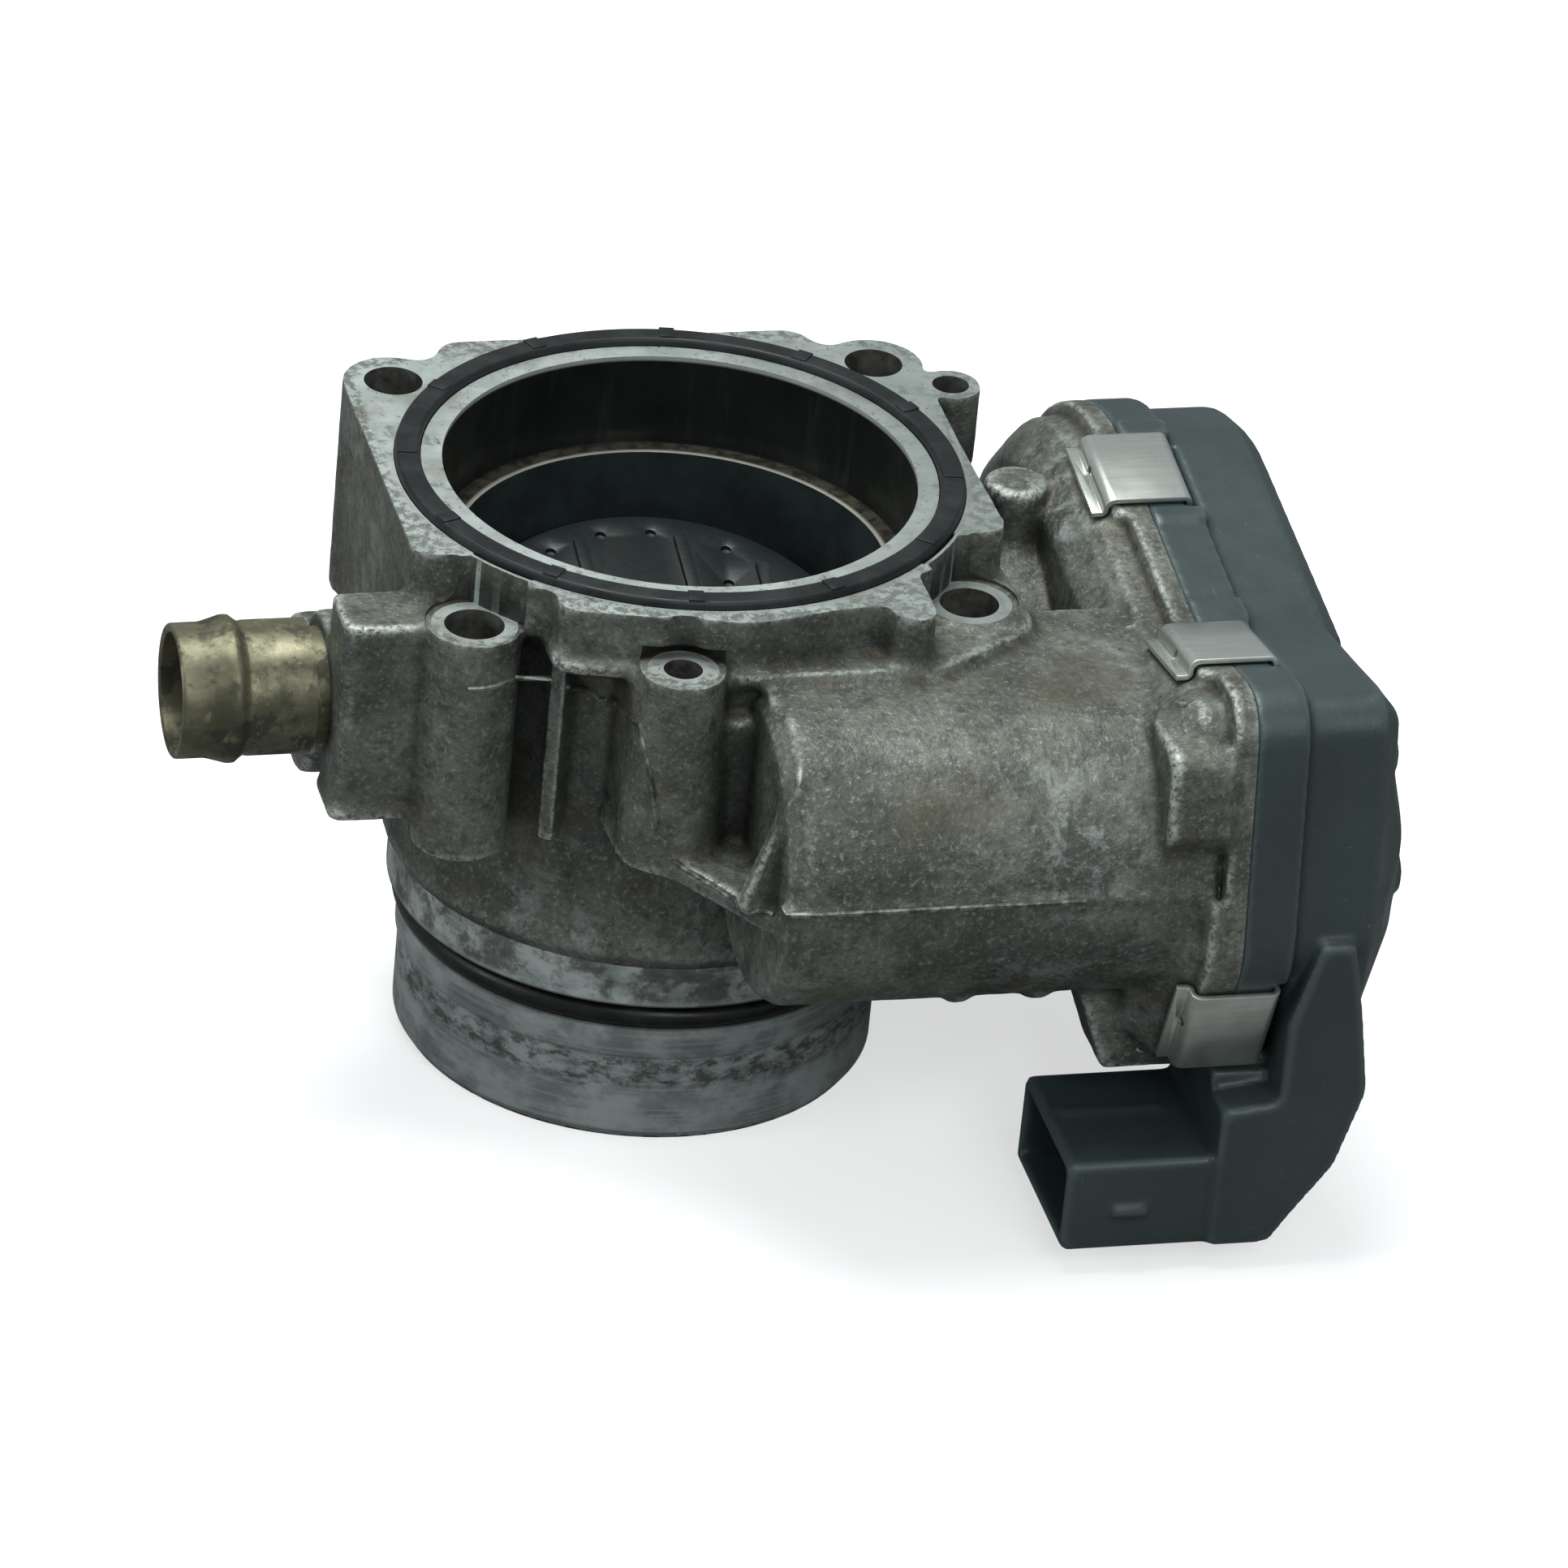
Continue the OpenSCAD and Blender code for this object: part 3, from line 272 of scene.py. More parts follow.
def cast_aluminium():
    """Weathered die casting: oily grey skin, frosted patches, brown stains, painted shade in the corners and creases,
    rubbed edges.
    """
    f = Finish("cast_aluminium", metallic=0.4, roughness=0.45)
    patches = f.speckle(15, 4, 0.6)
    grain = f.speckle(0.8, 4, 0.72)
    mottle = f.speckle(2.6, 4, 0.65)
    frost = f.speckle(4.5, 6, 0.72, distortion=0.4)
    region = f.speckle(34, 2, 0.5)
    facing_up = f.part("normal", "Z")
    skin = f.mix(f.step(patches, 0.34, 0.66), (0.078, 0.083, 0.071), (0.165, 0.175, 0.152))
    skin = f.mix(f.times(f.step(mottle, 0.52, 0.36), 0.55), skin, (0.045, 0.048, 0.041))
    skin = f.mix(f.times(f.step(grain, 0.52, 0.72), 0.6), skin, (0.38, 0.4, 0.37))
    skin = f.mix(f.times(f.step(grain, 0.46, 0.3), 0.65), skin, (0.034, 0.035, 0.029))
    whitened = f.times(f.step(frost, 0.48, 0.64), f.step(region, 0.42, 0.62))
    skin = f.mix(f.times(whitened, f.step(facing_up, -0.2, 0.6, (0.25, 0.6))), skin, (0.42, 0.46, 0.45))
    stain = f.step(f.speckle(19, 4, 0.6, distortion=0.8), 0.52, 0.66)
    skin = f.mix(f.times(stain, 0.5), skin, (0.1, 0.085, 0.055))
    # painted shade: ambient occlusion darkens the skin in deep corners and recesses
    corner_shade = f.step(f.shade_openness(11), 0.82, 0.38)
    skin = f.mix(f.times(corner_shade, 0.72), skin, (0.028, 0.031, 0.027))
    # the cavity mask both paints shade into creases and places rust on upward shelves
    crease_shade_and_rust = f.step(f.attribute("cavity"), 0.05, 0.45)
    rust = f.times(f.times(crease_shade_and_rust, f.step(facing_up, 0.3, 0.8)), f.step(frost, 0.4, 0.55))
    # painted shade: the skin darkened in the creases
    skin = f.mix(f.times(crease_shade_and_rust, 0.8), skin, (0.022, 0.023, 0.02))
    skin = f.mix(f.times(rust, 0.5), skin, (0.085, 0.066, 0.04))
    rubbed = f.times(f.step(f.attribute("wear"), 0.12, 0.5), f.step(f.speckle(0.9, 3, 0.7), 0.36, 0.58))
    skin = f.mix(f.times(rubbed, 0.75), skin, (0.55, 0.58, 0.55))
    f.colour(skin)
    f.rough(f.step(f.speckle(2.4, 4, 0.7), 0.3, 0.7, (0.36, 0.62)))
    f.bump(f.maths("ADD", f.times(grain, 0.6), f.times(f.speckle(2.2, 3, 0.6), 0.8)), 0.26)
    return f.material


def worn_edge():
    """Ragged flash metal, bright where it was rubbed and dark between."""
    f = Finish("worn_edge", metallic=0.5, roughness=0.4)
    broken = f.step(f.speckle(2.4, 4, 0.7), 0.42, 0.6)
    f.colour(f.mix(broken, (0.06, 0.063, 0.056), (0.2, 0.21, 0.19)))
    return f.material


def machined_face():
    """Milled sealing face: pale grey with stains and a pitted, darker edge."""
    f = Finish("machined_face", metallic=0.6, roughness=0.42)
    cloud = f.speckle(9, 4, 0.6)
    pits = f.speckle(0.9, 3, 0.7)
    cuts = f.speckle(2.0, 2, 0.5, stretch=(0.08, 1, 1))
    tone = f.mix(f.step(cloud, 0.3, 0.7), (0.36, 0.4, 0.385), (0.68, 0.74, 0.72))
    tone = f.mix(f.times(f.step(cuts, 0.45, 0.65), 0.25), tone, (0.36, 0.39, 0.38))
    spots = f.times(f.step(pits, 0.56, 0.68), f.step(f.speckle(6, 2), 0.42, 0.58))
    tone = f.mix(f.times(spots, 0.85), tone, (0.1, 0.095, 0.078))
    tone = f.mix(f.times(f.step(f.speckle(14, 3), 0.53, 0.68), 0.6), tone, (0.3, 0.285, 0.23))
    blotches = f.step(f.speckle(3.2, 5, 0.7, distortion=0.5), 0.55, 0.66)
    tone = f.mix(f.times(blotches, 0.6), tone, (0.17, 0.17, 0.145))
    edges = f.times(f.step(f.attribute("wear"), 0.05, 0.3), f.step(f.speckle(1.6, 4, 0.7), 0.44, 0.56))
    tone = f.mix(f.times(edges, 0.7), tone, (0.12, 0.118, 0.1))
    # the face is painted darker towards +X
    darker_towards_plus_x = f.step(f.part("place", "X"), 5 * MM, 42 * MM, (0.0, 0.5))
    tone = f.mix(darker_towards_plus_x, tone, (0.24, 0.275, 0.265))
    f.colour(tone)
    f.rough(f.step(cloud, 0.3, 0.7, (0.5, 0.34)))
    f.bump(f.maths("ADD", f.times(cuts, 0.3), f.times(pits, 0.5)), 0.05)
    return f.material


def bore_wall():
    """Air bore: black-green soot, with a bright line painted on the ledge along its inner edge, where the bore
    narrows.
    """
    f = Finish("bore_wall", metallic=0.5, roughness=0.42)
    height = f.part("place", "Z")
    cloud = f.speckle(10, 4, 0.6)
    streak = f.speckle(2.6, 3, 0.6, stretch=(1, 1, 0.1))
    soot = f.mix(f.step(cloud, 0.3, 0.7), (0.008, 0.01, 0.009), (0.024, 0.028, 0.026))
    soot = f.mix(f.times(f.step(streak, 0.55, 0.72), 0.35), soot, (0.06, 0.066, 0.062))
    lower = f.mix(f.step(cloud, 0.3, 0.7), (0.024, 0.032, 0.033), (0.058, 0.074, 0.078))
    tone = f.mix(f.step(height, -0.0139, -0.0143), soot, lower)
    ledge = f.step(f.part("normal", "Z"), 0.5, 0.8)
    brown = f.mix(f.step(f.speckle(1.5, 3), 0.35, 0.65), (0.03, 0.028, 0.022), (0.085, 0.078, 0.06))
    tone = f.mix(ledge, tone, brown)
    # a bright line painted on the ledge, within 1 mm of the narrower bore
    bright = f.times(ledge, f.step(f.radius(), bore_r + 1.0 * MM, bore_r + 0.3 * MM))
    tone = f.mix(bright, tone, (0.5, 0.49, 0.43))
    lip = f.step(height, -0.0009, -0.0004)
    tone = f.mix(lip, tone, (0.62, 0.66, 0.64))
    f.colour(tone)
    f.rough(f.step(cloud, 0.3, 0.7, (0.48, 0.3)))
    f.bump(streak, 0.04)
    return f.material


def turned_spigot():
    """Turned outlet end: grey-blue bands, lathe lines, torn patches of soot and a painted shadow in the O-ring
    groove.
    """
    f = Finish("turned_spigot", metallic=0.6, roughness=0.42)
    height = f.part("place", "Z")
    lines = f.speckle(0.5, 2, 0.5, stretch=(0.02, 0.02, 1))
    cloud = f.speckle(8, 4, 0.65, stretch=(1, 1, 1.6))
    tone = f.mix(f.step(cloud, 0.35, 0.65), (0.28, 0.315, 0.31), (0.6, 0.655, 0.645))
    tone = f.mix(f.times(f.step(lines, 0.45, 0.7), 0.4), tone, (0.66, 0.71, 0.7))
    band = f.times(f.step(height, -0.084, -0.081), f.step(height, -0.0755, -0.078))
    torn = f.times(f.step(f.speckle(3.5, 5, 0.75, stretch=(1, 1, 1.8)), 0.42, 0.62), band)
    tone = f.mix(f.times(torn, 0.8), tone, (0.045, 0.048, 0.045))
    upper = f.times(f.step(height, -0.0675, -0.0655), f.step(f.speckle(5, 4, 0.7), 0.42, 0.6))
    tone = f.mix(f.times(upper, 0.75), tone, (0.06, 0.056, 0.046))
    # painted shadow: the O-ring groove under the collar darkened nearly to black
    groove = f.times(f.step(height, -0.0725, -0.0715), f.step(height, -0.0665, -0.067))
    tone = f.mix(f.times(groove, 0.9), tone, (0.02, 0.02, 0.019))
    f.colour(tone)
    f.rough(f.step(cloud, 0.3, 0.7, (0.5, 0.3)))
    f.bump(lines, 0.03)
    return f.material


def dark_hole():
    """Drilled holes and the closed inner pockets: plain metal under a film of oil and dust."""
    f = Finish("dark_hole", metallic=0.6, roughness=0.45)
    cloud = f.speckle(3, 3, 0.6)
    f.colour(f.mix(f.step(cloud, 0.3, 0.7), (0.07, 0.07, 0.062), (0.2, 0.2, 0.18)))
    f.bump(f.speckle(0.7, 2), 0.04)
    return f.material


def clean_cut():
    """Machined surfaces inside the closed gear case, which have stayed clean."""
    f = Finish("clean_cut", metallic=0.8, roughness=0.32)
    lines = f.speckle(0.8, 2, 0.5, stretch=(1, 0.05, 1))
    f.colour(f.mix(f.step(lines, 0.35, 0.65), (0.42, 0.43, 0.42), (0.56, 0.57, 0.56)))
    f.bump(lines, 0.02)
    return f.material


def cover_plastic():
    """Glass-filled moulding: slate grey, soft sheen, faint flow marks, scuffed lighter edges, painted shade in the
    creases.
    """
    f = Finish("cover_plastic", roughness=0.44, specular=0.5)
    cloud = f.speckle(28, 3, 0.5)
    grain = f.speckle(0.5, 2, 0.6)
    scuffs = f.times(f.step(f.speckle(1.3, 4, 0.75, stretch=(1, 0.25, 1)), 0.62, 0.74), f.step(cloud, 0.5, 0.62))
    tone = f.mix(f.step(cloud, 0.3, 0.7), (0.029, 0.043, 0.044), (0.038, 0.055, 0.056))
    tone = f.mix(f.times(f.step(grain, 0.35, 0.7), 0.2), tone, (0.056, 0.074, 0.076))
    tone = f.mix(f.times(f.step(f.attribute("wear"), 0.15, 0.6), 0.3), tone, (0.12, 0.15, 0.155))
    # painted shade: the plastic darkened in the creases
    tone = f.mix(f.times(f.step(f.attribute("cavity"), 0.1, 0.6), 0.6), tone, (0.014, 0.018, 0.02))
    tone = f.mix(f.times(scuffs, 0.35), tone, (0.2, 0.22, 0.22))
    f.colour(tone)
    f.rough(f.step(f.speckle(6, 3), 0.3, 0.7, (0.5, 0.36)))
    f.bump(grain, 0.03)
    return f.material


def clip_steel():
    """Satin spring steel, brushed along its length, a little tarnished."""
    f = Finish("clip_steel", metallic=0.9, roughness=0.34)
    brush = f.speckle(0.7, 2, 0.5, stretch=(0.06, 1, 1))
    cloud = f.speckle(7, 3)
    tone = f.mix(f.step(cloud, 0.3, 0.7), (0.5, 0.53, 0.49), (0.66, 0.69, 0.65))
    tone = f.mix(f.times(f.step(brush, 0.4, 0.7), 0.3), tone, (0.78, 0.8, 0.76))
    tone = f.mix(f.times(f.step(f.speckle(1.6, 4, 0.7), 0.64, 0.75), 0.5), tone, (0.24, 0.22, 0.17))
    f.colour(tone)
    f.rough(f.step(cloud, 0.3, 0.7, (0.4, 0.27)))
    f.bump(brush, 0.012)
    return f.material


def tarnished_brass():
    """Brass tube gone olive and brown, with dark blotches and a few bright rubs."""
    f = Finish("tarnished_brass", metallic=0.65, roughness=0.46)
    cloud = f.speckle(6, 4, 0.6, stretch=(0.8, 1, 1))
    blots = f.speckle(4.5, 4, 0.65)
    rubs = f.speckle(2.2, 4, 0.7, stretch=(1, 1, 0.5))
    tone = f.mix(f.step(cloud, 0.32, 0.68), (0.095, 0.092, 0.058), (0.2, 0.19, 0.125))
    tone = f.mix(f.times(f.step(blots, 0.48, 0.62), 0.85), tone, (0.055, 0.052, 0.04))
    tone = f.mix(f.times(f.step(rubs, 0.58, 0.7), 0.5), tone, (0.38, 0.34, 0.2))
    f.colour(tone)
    f.rough(f.step(blots, 0.35, 0.65, (0.4, 0.58)))
    f.bump(f.speckle(0.8, 3), 0.03)
    return f.material


def rubber(name, tone_a, tone_b, roughness):
    f = Finish(name, roughness=roughness, specular=0.4)
    dust = f.speckle(5, 4, 0.6)
    f.colour(f.mix(f.step(dust, 0.35, 0.7), tone_a, tone_b))
    f.rough(f.step(dust, 0.3, 0.7, (roughness - 0.08, roughness + 0.1)))
    f.bump(f.speckle(0.4, 2), 0.02)
    return f.material


def plate_black():
    """Throttle plate under a film of oily soot."""
    f = Finish("plate_black", metallic=0.3, roughness=0.4)
    cloud = f.speckle(9, 4, 0.6)
    tone = f.mix(f.step(cloud, 0.3, 0.7), (0.009, 0.013, 0.013), (0.022, 0.029, 0.03))
    tone = f.mix(f.times(f.step(f.speckle(2, 4, 0.7), 0.6, 0.75), 0.3), tone, (0.06, 0.068, 0.068))
    f.colour(tone)
    f.rough(f.step(cloud, 0.3, 0.7, (0.5, 0.3)))
    f.bump(f.speckle(1.2, 3), 0.04)
    return f.material


def plain_metal(name, dark, light, roughness=0.3, brush=(1, 1, 1)):
    """Clean metal of the inner parts, with fine working marks."""
    f = Finish(name, metallic=0.95, roughness=roughness)
    marks = f.speckle(0.9, 3, 0.6, stretch=brush)
    f.colour(f.mix(f.step(marks, 0.3, 0.7), dark, light))
    f.rough(f.step(marks, 0.3, 0.7, (roughness + 0.08, roughness - 0.06)))
    f.bump(marks, 0.01)
    return f.material


def plain_plastic(name, dark, light, roughness=0.45):
    """Moulded plastic of the inner parts, with a faint mottle."""
    f = Finish(name, roughness=roughness)
    mottle = f.speckle(3, 3, 0.6)
    f.colour(f.mix(f.step(mottle, 0.3, 0.7), dark, light))
    f.rough(f.step(mottle, 0.3, 0.7, (roughness - 0.06, roughness + 0.08)))
    f.bump(f.speckle(0.5, 2), 0.015)
    return f.material


# ---- mesh tools ----
def link(name, mesh):
    piece = bpy.data.objects.new(name, mesh)
    bpy.context.scene.collection.objects.link(piece)
    return piece


def to_mesh(name, shape, material=None):
    mesh = bpy.data.meshes.new(name)
    shape.to_mesh(mesh)
    shape.free()
    if "custom_normal" in mesh.attributes:
        mesh.attributes.remove(mesh.attributes["custom_normal"])
    mesh.materials.clear()
    if material:
        mesh.materials.append(material)
    mesh.polygons.foreach_set("material_index", [0] * len(mesh.polygons))
    return mesh


def welded(node, name, material=None, shift=(0, 0, 0)):
    """A closed copy of a CAD node's mesh, as a new object."""
    shape = bmesh.new()
    shape.from_mesh(nodes[node].data)
    bmesh.ops.remove_doubles(shape, verts=shape.verts, dist=1e-6)
    bmesh.ops.translate(shape, verts=shape.verts, vec=shift)
    return link(name, to_mesh(name, shape, material))


def rod(name, radius, low, high, centre, axis="Z", material=None, sides=128):
    """A closed cylinder along an axis, from low to high on it; centre gives the other two coordinates."""
    shape = bmesh.new()
    bmesh.ops.create_cone(shape, cap_ends=True, segments=sides, radius1=radius, radius2=radius, depth=high - low)
    if axis == "X":
        bmesh.ops.rotate(shape, verts=shape.verts, matrix=Matrix.Rotation(math.pi / 2, 3, "Y"))
        spot = ((low + high) / 2, centre[1], centre[2])
    else:
        spot = (centre[0], centre[1], (low + high) / 2)
    bmesh.ops.translate(shape, verts=shape.verts, vec=spot)
    return link(name, to_mesh(name, shape, material))


def block(name, low, high, material=None):
    shape = bmesh.new()
    bmesh.ops.create_cube(shape, size=1)
    low, high = Vector(low), Vector(high)
    bmesh.ops.scale(shape, verts=shape.verts, vec=high - low)
    bmesh.ops.translate(shape, verts=shape.verts, vec=(low + high) / 2)
    return link(name, to_mesh(name, shape, material))


def prism_x(name, outline, low, high, material=None):
    """A closed prism along X over an outline of (y, z) points."""
    shape = bmesh.new()
    near = [shape.verts.new((low, y, z)) for y, z in outline]
    far = [shape.verts.new((high, y, z)) for y, z in outline]
    shape.faces.new(near)
    shape.faces.new(list(reversed(far)))
    for i in range(len(outline)):
        j = (i + 1) % len(outline)
        shape.faces.new((near[j], near[i], far[i], far[j]))
    bmesh.ops.recalc_face_normals(shape, faces=shape.faces)
    return link(name, to_mesh(name, shape, material))


def lathe(name, profile, axis="Z", centre=(0, 0, 0), sides=160, material=None):
    """A closed ring of revolution from a closed profile of (radius, height) points."""
    shape = bmesh.new()
    rings = []
    for k in range(sides):
        turn = 2 * math.pi * k / sides
        ring = []
        for radius, height in profile:
            x, y = radius * math.cos(turn), radius * math.sin(turn)
            spot = (height, x, y) if axis == "X" else (x, y, height)
            ring.append(shape.verts.new(Vector(spot) + Vector(centre)))
        rings.append(ring)
    for k in range(sides):
        here, there = rings[k], rings[(k + 1) % sides]
        for i in range(len(profile)):
            j = (i + 1) % len(profile)
            shape.faces.new((here[i], there[i], there[j], here[j]))
    bmesh.ops.recalc_face_normals(shape, faces=shape.faces)
    return link(name, to_mesh(name, shape, material))


def settle(piece):
    """Applies the piece's modifiers to its mesh."""
    seen = bpy.context.evaluated_depsgraph_get()
    mesh = bpy.data.meshes.new_from_object(piece.evaluated_get(seen))
    piece.modifiers.clear()
    piece.data = mesh


def combine(piece, other, operation, keep=False):
    """Boolean of piece with other, which is then removed; new faces bring other's material."""
    mod = piece.modifiers.new("combine", "BOOLEAN")
    mod.operation = operation
    mod.solver = "MANIFOLD"
    mod.material_mode = "TRANSFER"
    mod.object = other
    settle(piece)
    if not keep:
        bpy.data.objects.remove(other)


def remesh(piece, voxel):
    mod = piece.modifiers.new("remesh", "REMESH")
    mod.mode = "VOXEL"
    mod.voxel_size = voxel
    settle(piece)


def coords(mesh):
    co = np.empty(len(mesh.vertices) * 3)
    mesh.vertices.foreach_get("co", co)
    return co.reshape(-1, 3)


def edge_ends(mesh):
    ends = np.empty(len(mesh.edges) * 2, dtype=np.int64)
    mesh.edges.foreach_get("vertices", ends)
    return ends.reshape(-1, 2)


def relax(co, ends, rounds, pull=0.5):
    """Each point drawn towards the mean of its neighbours, which rounds edges and fills corners."""
    count = len(co)
    a, b = ends[:, 0], ends[:, 1]
    share = np.bincount(a, minlength=count) + np.bincount(b, minlength=count)
    for _ in range(rounds):
        total = np.empty_like(co)
        for k in range(3):
            total[:, k] = np.bincount(a, co[b, k], count) + np.bincount(b, co[a, k], count)
        co = co + pull * (total / share[:, None] - co)
    return co


def normals(mesh):
    out = np.empty(len(mesh.vertices) * 3)
    mesh.vertex_normals.foreach_get("vector", out)
    return out.reshape(-1, 3)


def crease_and_edge_masks(piece, reach, rounds=14):
    """Where the form is hollow or proud over the given reach: 'cavity' and 'wear', from 0 to 1."""
    mesh = piece.data
    co, ends = coords(mesh), edge_ends(mesh)
    lift = np.einsum("ij,ij->i", relax(co, ends, rounds) - co, normals(mesh)) / reach
    for name, value in (("cavity", lift), ("wear", -lift)):
        layer = mesh.attributes.new(name, "FLOAT", "POINT")
        layer.data.foreach_set("value", np.clip(value, 0, 1).astype(np.float32))


def carry_crease_and_edge_masks(source, piece):
    """Copies the crease and edge masks of the nearest point of an earlier mesh onto the final one."""
    old = coords(source)
    tree = KDTree(len(old))
    for i, point in enumerate(old):
        tree.insert(point, i)
    tree.balance()
    mesh = piece.data
    nearest = [tree.find(point)[1] for point in coords(mesh)]
    for name in ("cavity", "wear"):
        value = np.empty(len(old), np.float32)
        source.attributes[name].data.foreach_get("value", value)
        if name in mesh.attributes:
            mesh.attributes.remove(mesh.attributes[name])
        mesh.attributes.new(name, "FLOAT", "POINT").data.foreach_set("value", value[nearest])


def crisp(piece, degrees=32):
    """Smooth shading with creases kept where faces meet more sharply than the given angle."""
    shape = bmesh.new()
    shape.from_mesh(piece.data)
    limit = math.radians(degrees)
    for face in shape.faces:
        face.smooth = True
    for edge in shape.edges:
        edge.smooth = len(edge.link_faces) == 2 and edge.calc_face_angle(0) < limit
    shape.to_mesh(piece.data)
    shape.free()


def roughen(piece, amount, size):
    """Moves each point along its normal by two scales of soft noise."""
    mesh = piece.data
    co, out = coords(mesh), normals(mesh)
    lift = [noise.noise(Vector(p) / size) + 0.45 * noise.noise(Vector(p) * 3.3 / size) for p in co]
    mesh.vertices.foreach_set("co", (co + out * (amount * np.array(lift))[:, None]).ravel())
    mesh.update()


def void_of(name, keep_in, material):
    """The open space that the CAD housing leaves inside a closed shape, ready to cut with."""
    metal = welded("housing", "metal")
    combine(keep_in, metal, "DIFFERENCE")
    keep_in.name = name
    keep_in.data.materials.clear()
    keep_in.data.materials.append(material)
    keep_in.data.polygons.foreach_set("material_index", [0] * len(keep_in.data.polygons))
    return keep_in


def inner_loop(node, x):
    """The (y, z) points of the inner edge of a thin ring such as the cover seal, in order round it."""
    points = [v.co for v in nodes[node].data.vertices if abs(v.co.x - x) < 1e-5]
    middle = sum(points, Vector()) / len(points)
    by_angle = {}
    for p in points:
        arm = Vector((p.y - middle.y, p.z - middle.z))
        key = round(math.atan2(arm.y, arm.x), 2)
        if key not in by_angle or arm.length < by_angle[key][0]:
            by_angle[key] = (arm.length, (p.y, p.z))
    return [by_angle[key][1] for key in sorted(by_angle)]


def inset(loop, distance):
    """A closed loop of points, in counter-clockwise order, moved inwards."""
    moved = []
    for before, here, after in zip(loop[-1:] + loop, loop, loop[1:] + loop[:1]):
        along = Vector(after) - Vector(before)
        moved.append(tuple(Vector(here) + distance * Vector((-along.y, along.x)).normalized()))
    return moved


def flash_line(name, path, radius, body, material):
    """A thin ridge that follows the body's surface from point to point, as metal does where a mould closes."""
    skin = BVHTree.FromPolygons(coords(body.data), [tuple(f.vertices) for f in body.data.polygons])
    spots = []
    for start, end in zip(path, path[1:]):
        start, end = Vector(start) * MM, Vector(end) * MM
        count = max(2, int((end - start).length / (0.8 * MM)))
        spots += [skin.find_nearest(start.lerp(end, k / count))[0] for k in range(count)]
    shape = bmesh.new()
    rows = []
    for i, spot in enumerate(spots):
        ahead = (spots[min(i + 1, len(spots) - 1)] - spots[max(i - 1, 0)]).normalized()
        side = ahead.cross(skin.find_nearest(spot)[1]).normalized()
        up = side.cross(ahead)
        rows.append([shape.verts.new(spot + radius * (math.cos(t) * side + math.sin(t) * up))
                     for t in (math.pi / 3 * k for k in range(6))])
    for here, there in zip(rows, rows[1:]):
        for k in range(6):
            j = (k + 1) % 6
            shape.faces.new((here[k], here[j], there[j], there[k]))
    shape.faces.new(rows[0])
    shape.faces.new(list(reversed(rows[-1])))
    bmesh.ops.recalc_face_normals(shape, faces=shape.faces)
    return link(name, to_mesh(name, shape, material))


# ---- cast housing ----
STOCK = 1.0 * MM
CAST_VOXEL = 0.55 * MM
CAST_ROUNDS = 8
FLANGE_END_X = 50.5 * MM
GROOVE_WALL_R = 41.7 * MM


def drop_loose_films(body):
    """Keep the largest connected part of the mesh: cuts that end at the skin leave thin loose flakes."""
    shape = bmesh.new()
    shape.from_mesh(body.data)
    waiting, largest = set(shape.verts), []
    while waiting:
        part, edge_of_part = [], [waiting.pop()]
        while edge_of_part:
            vert = edge_of_part.pop()
            part.append(vert)
            for edge in vert.link_edges:
                other = edge.other_vert(vert)
                if other in waiting:
                    waiting.remove(other)
                    edge_of_part.append(other)
        if len(part) > len(largest):
            largest = part
    kept = set(largest)
    bmesh.ops.delete(shape, geom=[v for v in shape.verts if v not in kept], context="VERTS")
    shape.to_mesh(body.data)
    shape.free()


# where the mould's halves met: along the barrel, and down round the front post from the left bolt post
FLASH_PATHS_MM = [
    [(1, -73.6, -29.8), (44, -73.6, -29.8)],
    [(-37.5, -35.5, -13.7), (-32, -35.2, -13.3), (-25, -34, -14), (-18, -34, -17.5), (-15.5, -47, -14),
     (-14, -50, -21), (-12.6, -51.6, -30)],
    [(-10.5, -52.5, -33), (-4.5, -61.5, -33.7), (1, -68.3, -33.2)],
]


def cavity_fills(skins):
    """Closed shapes that cover each machined hollow of the housing, with the skin that each one is cut in."""
    z0 = floor_z - STOCK
    fills = [
        (rod("bore", inlet_r + 0.4 * MM, z0, 2 * MM, (0, 0)), skins["bore"]),
        (rod("shaft", 7.6 * MM, -58 * MM, 58 * MM, throttle_c, "X"), skins["hole"]),
        (rod("nipple_seat", 8.9 * MM, nipple_c.x + 12 * MM, -44 * MM, nipple_c, "X"), skins["hole"]),
        (rod("air_way", 6.5 * MM, -46 * MM, -20 * MM, nipple_c, "X"), skins["hole"]),
        (rod("motor_bay", 18.6 * MM, 3.4 * MM, 60 * MM, motor_c, "X"), skins["clean"]),
        (rod("spring_pocket", 15.9 * MM, 47.2 * MM, 60 * MM, throttle_c, "X"), skins["clean"]),
        (rod("axle_seat", 2.8 * MM, 47.8 * MM, 60 * MM, middle_c, "X"), skins["clean"]),
        (prism_x("gear_bay", inset(inner_loop("cover_seal", joint_x), 1.5 * MM), case_floor_x - 0.3 * MM,
                 joint_x + 2 * MM), skins["clean"]),
    ]
    for sx in (-1, 1):
        for sy in (-1, 1):
            fills.append((rod("bolt", bolt_r + 0.3 * MM, -52 * MM, 2 * MM, (sx * bolt_x, sy * bolt_y)),
                          skins["hole"]))
    fills.append((rod("front_screw", 3.0 * MM, -27 * MM, screw_post_top + STOCK, front_screw), skins["hole"]))
    fills.append((rod("rear_screw", 3.0 * MM, -12 * MM, 2 * MM, rear_screw), skins["hole"]))
    return fills


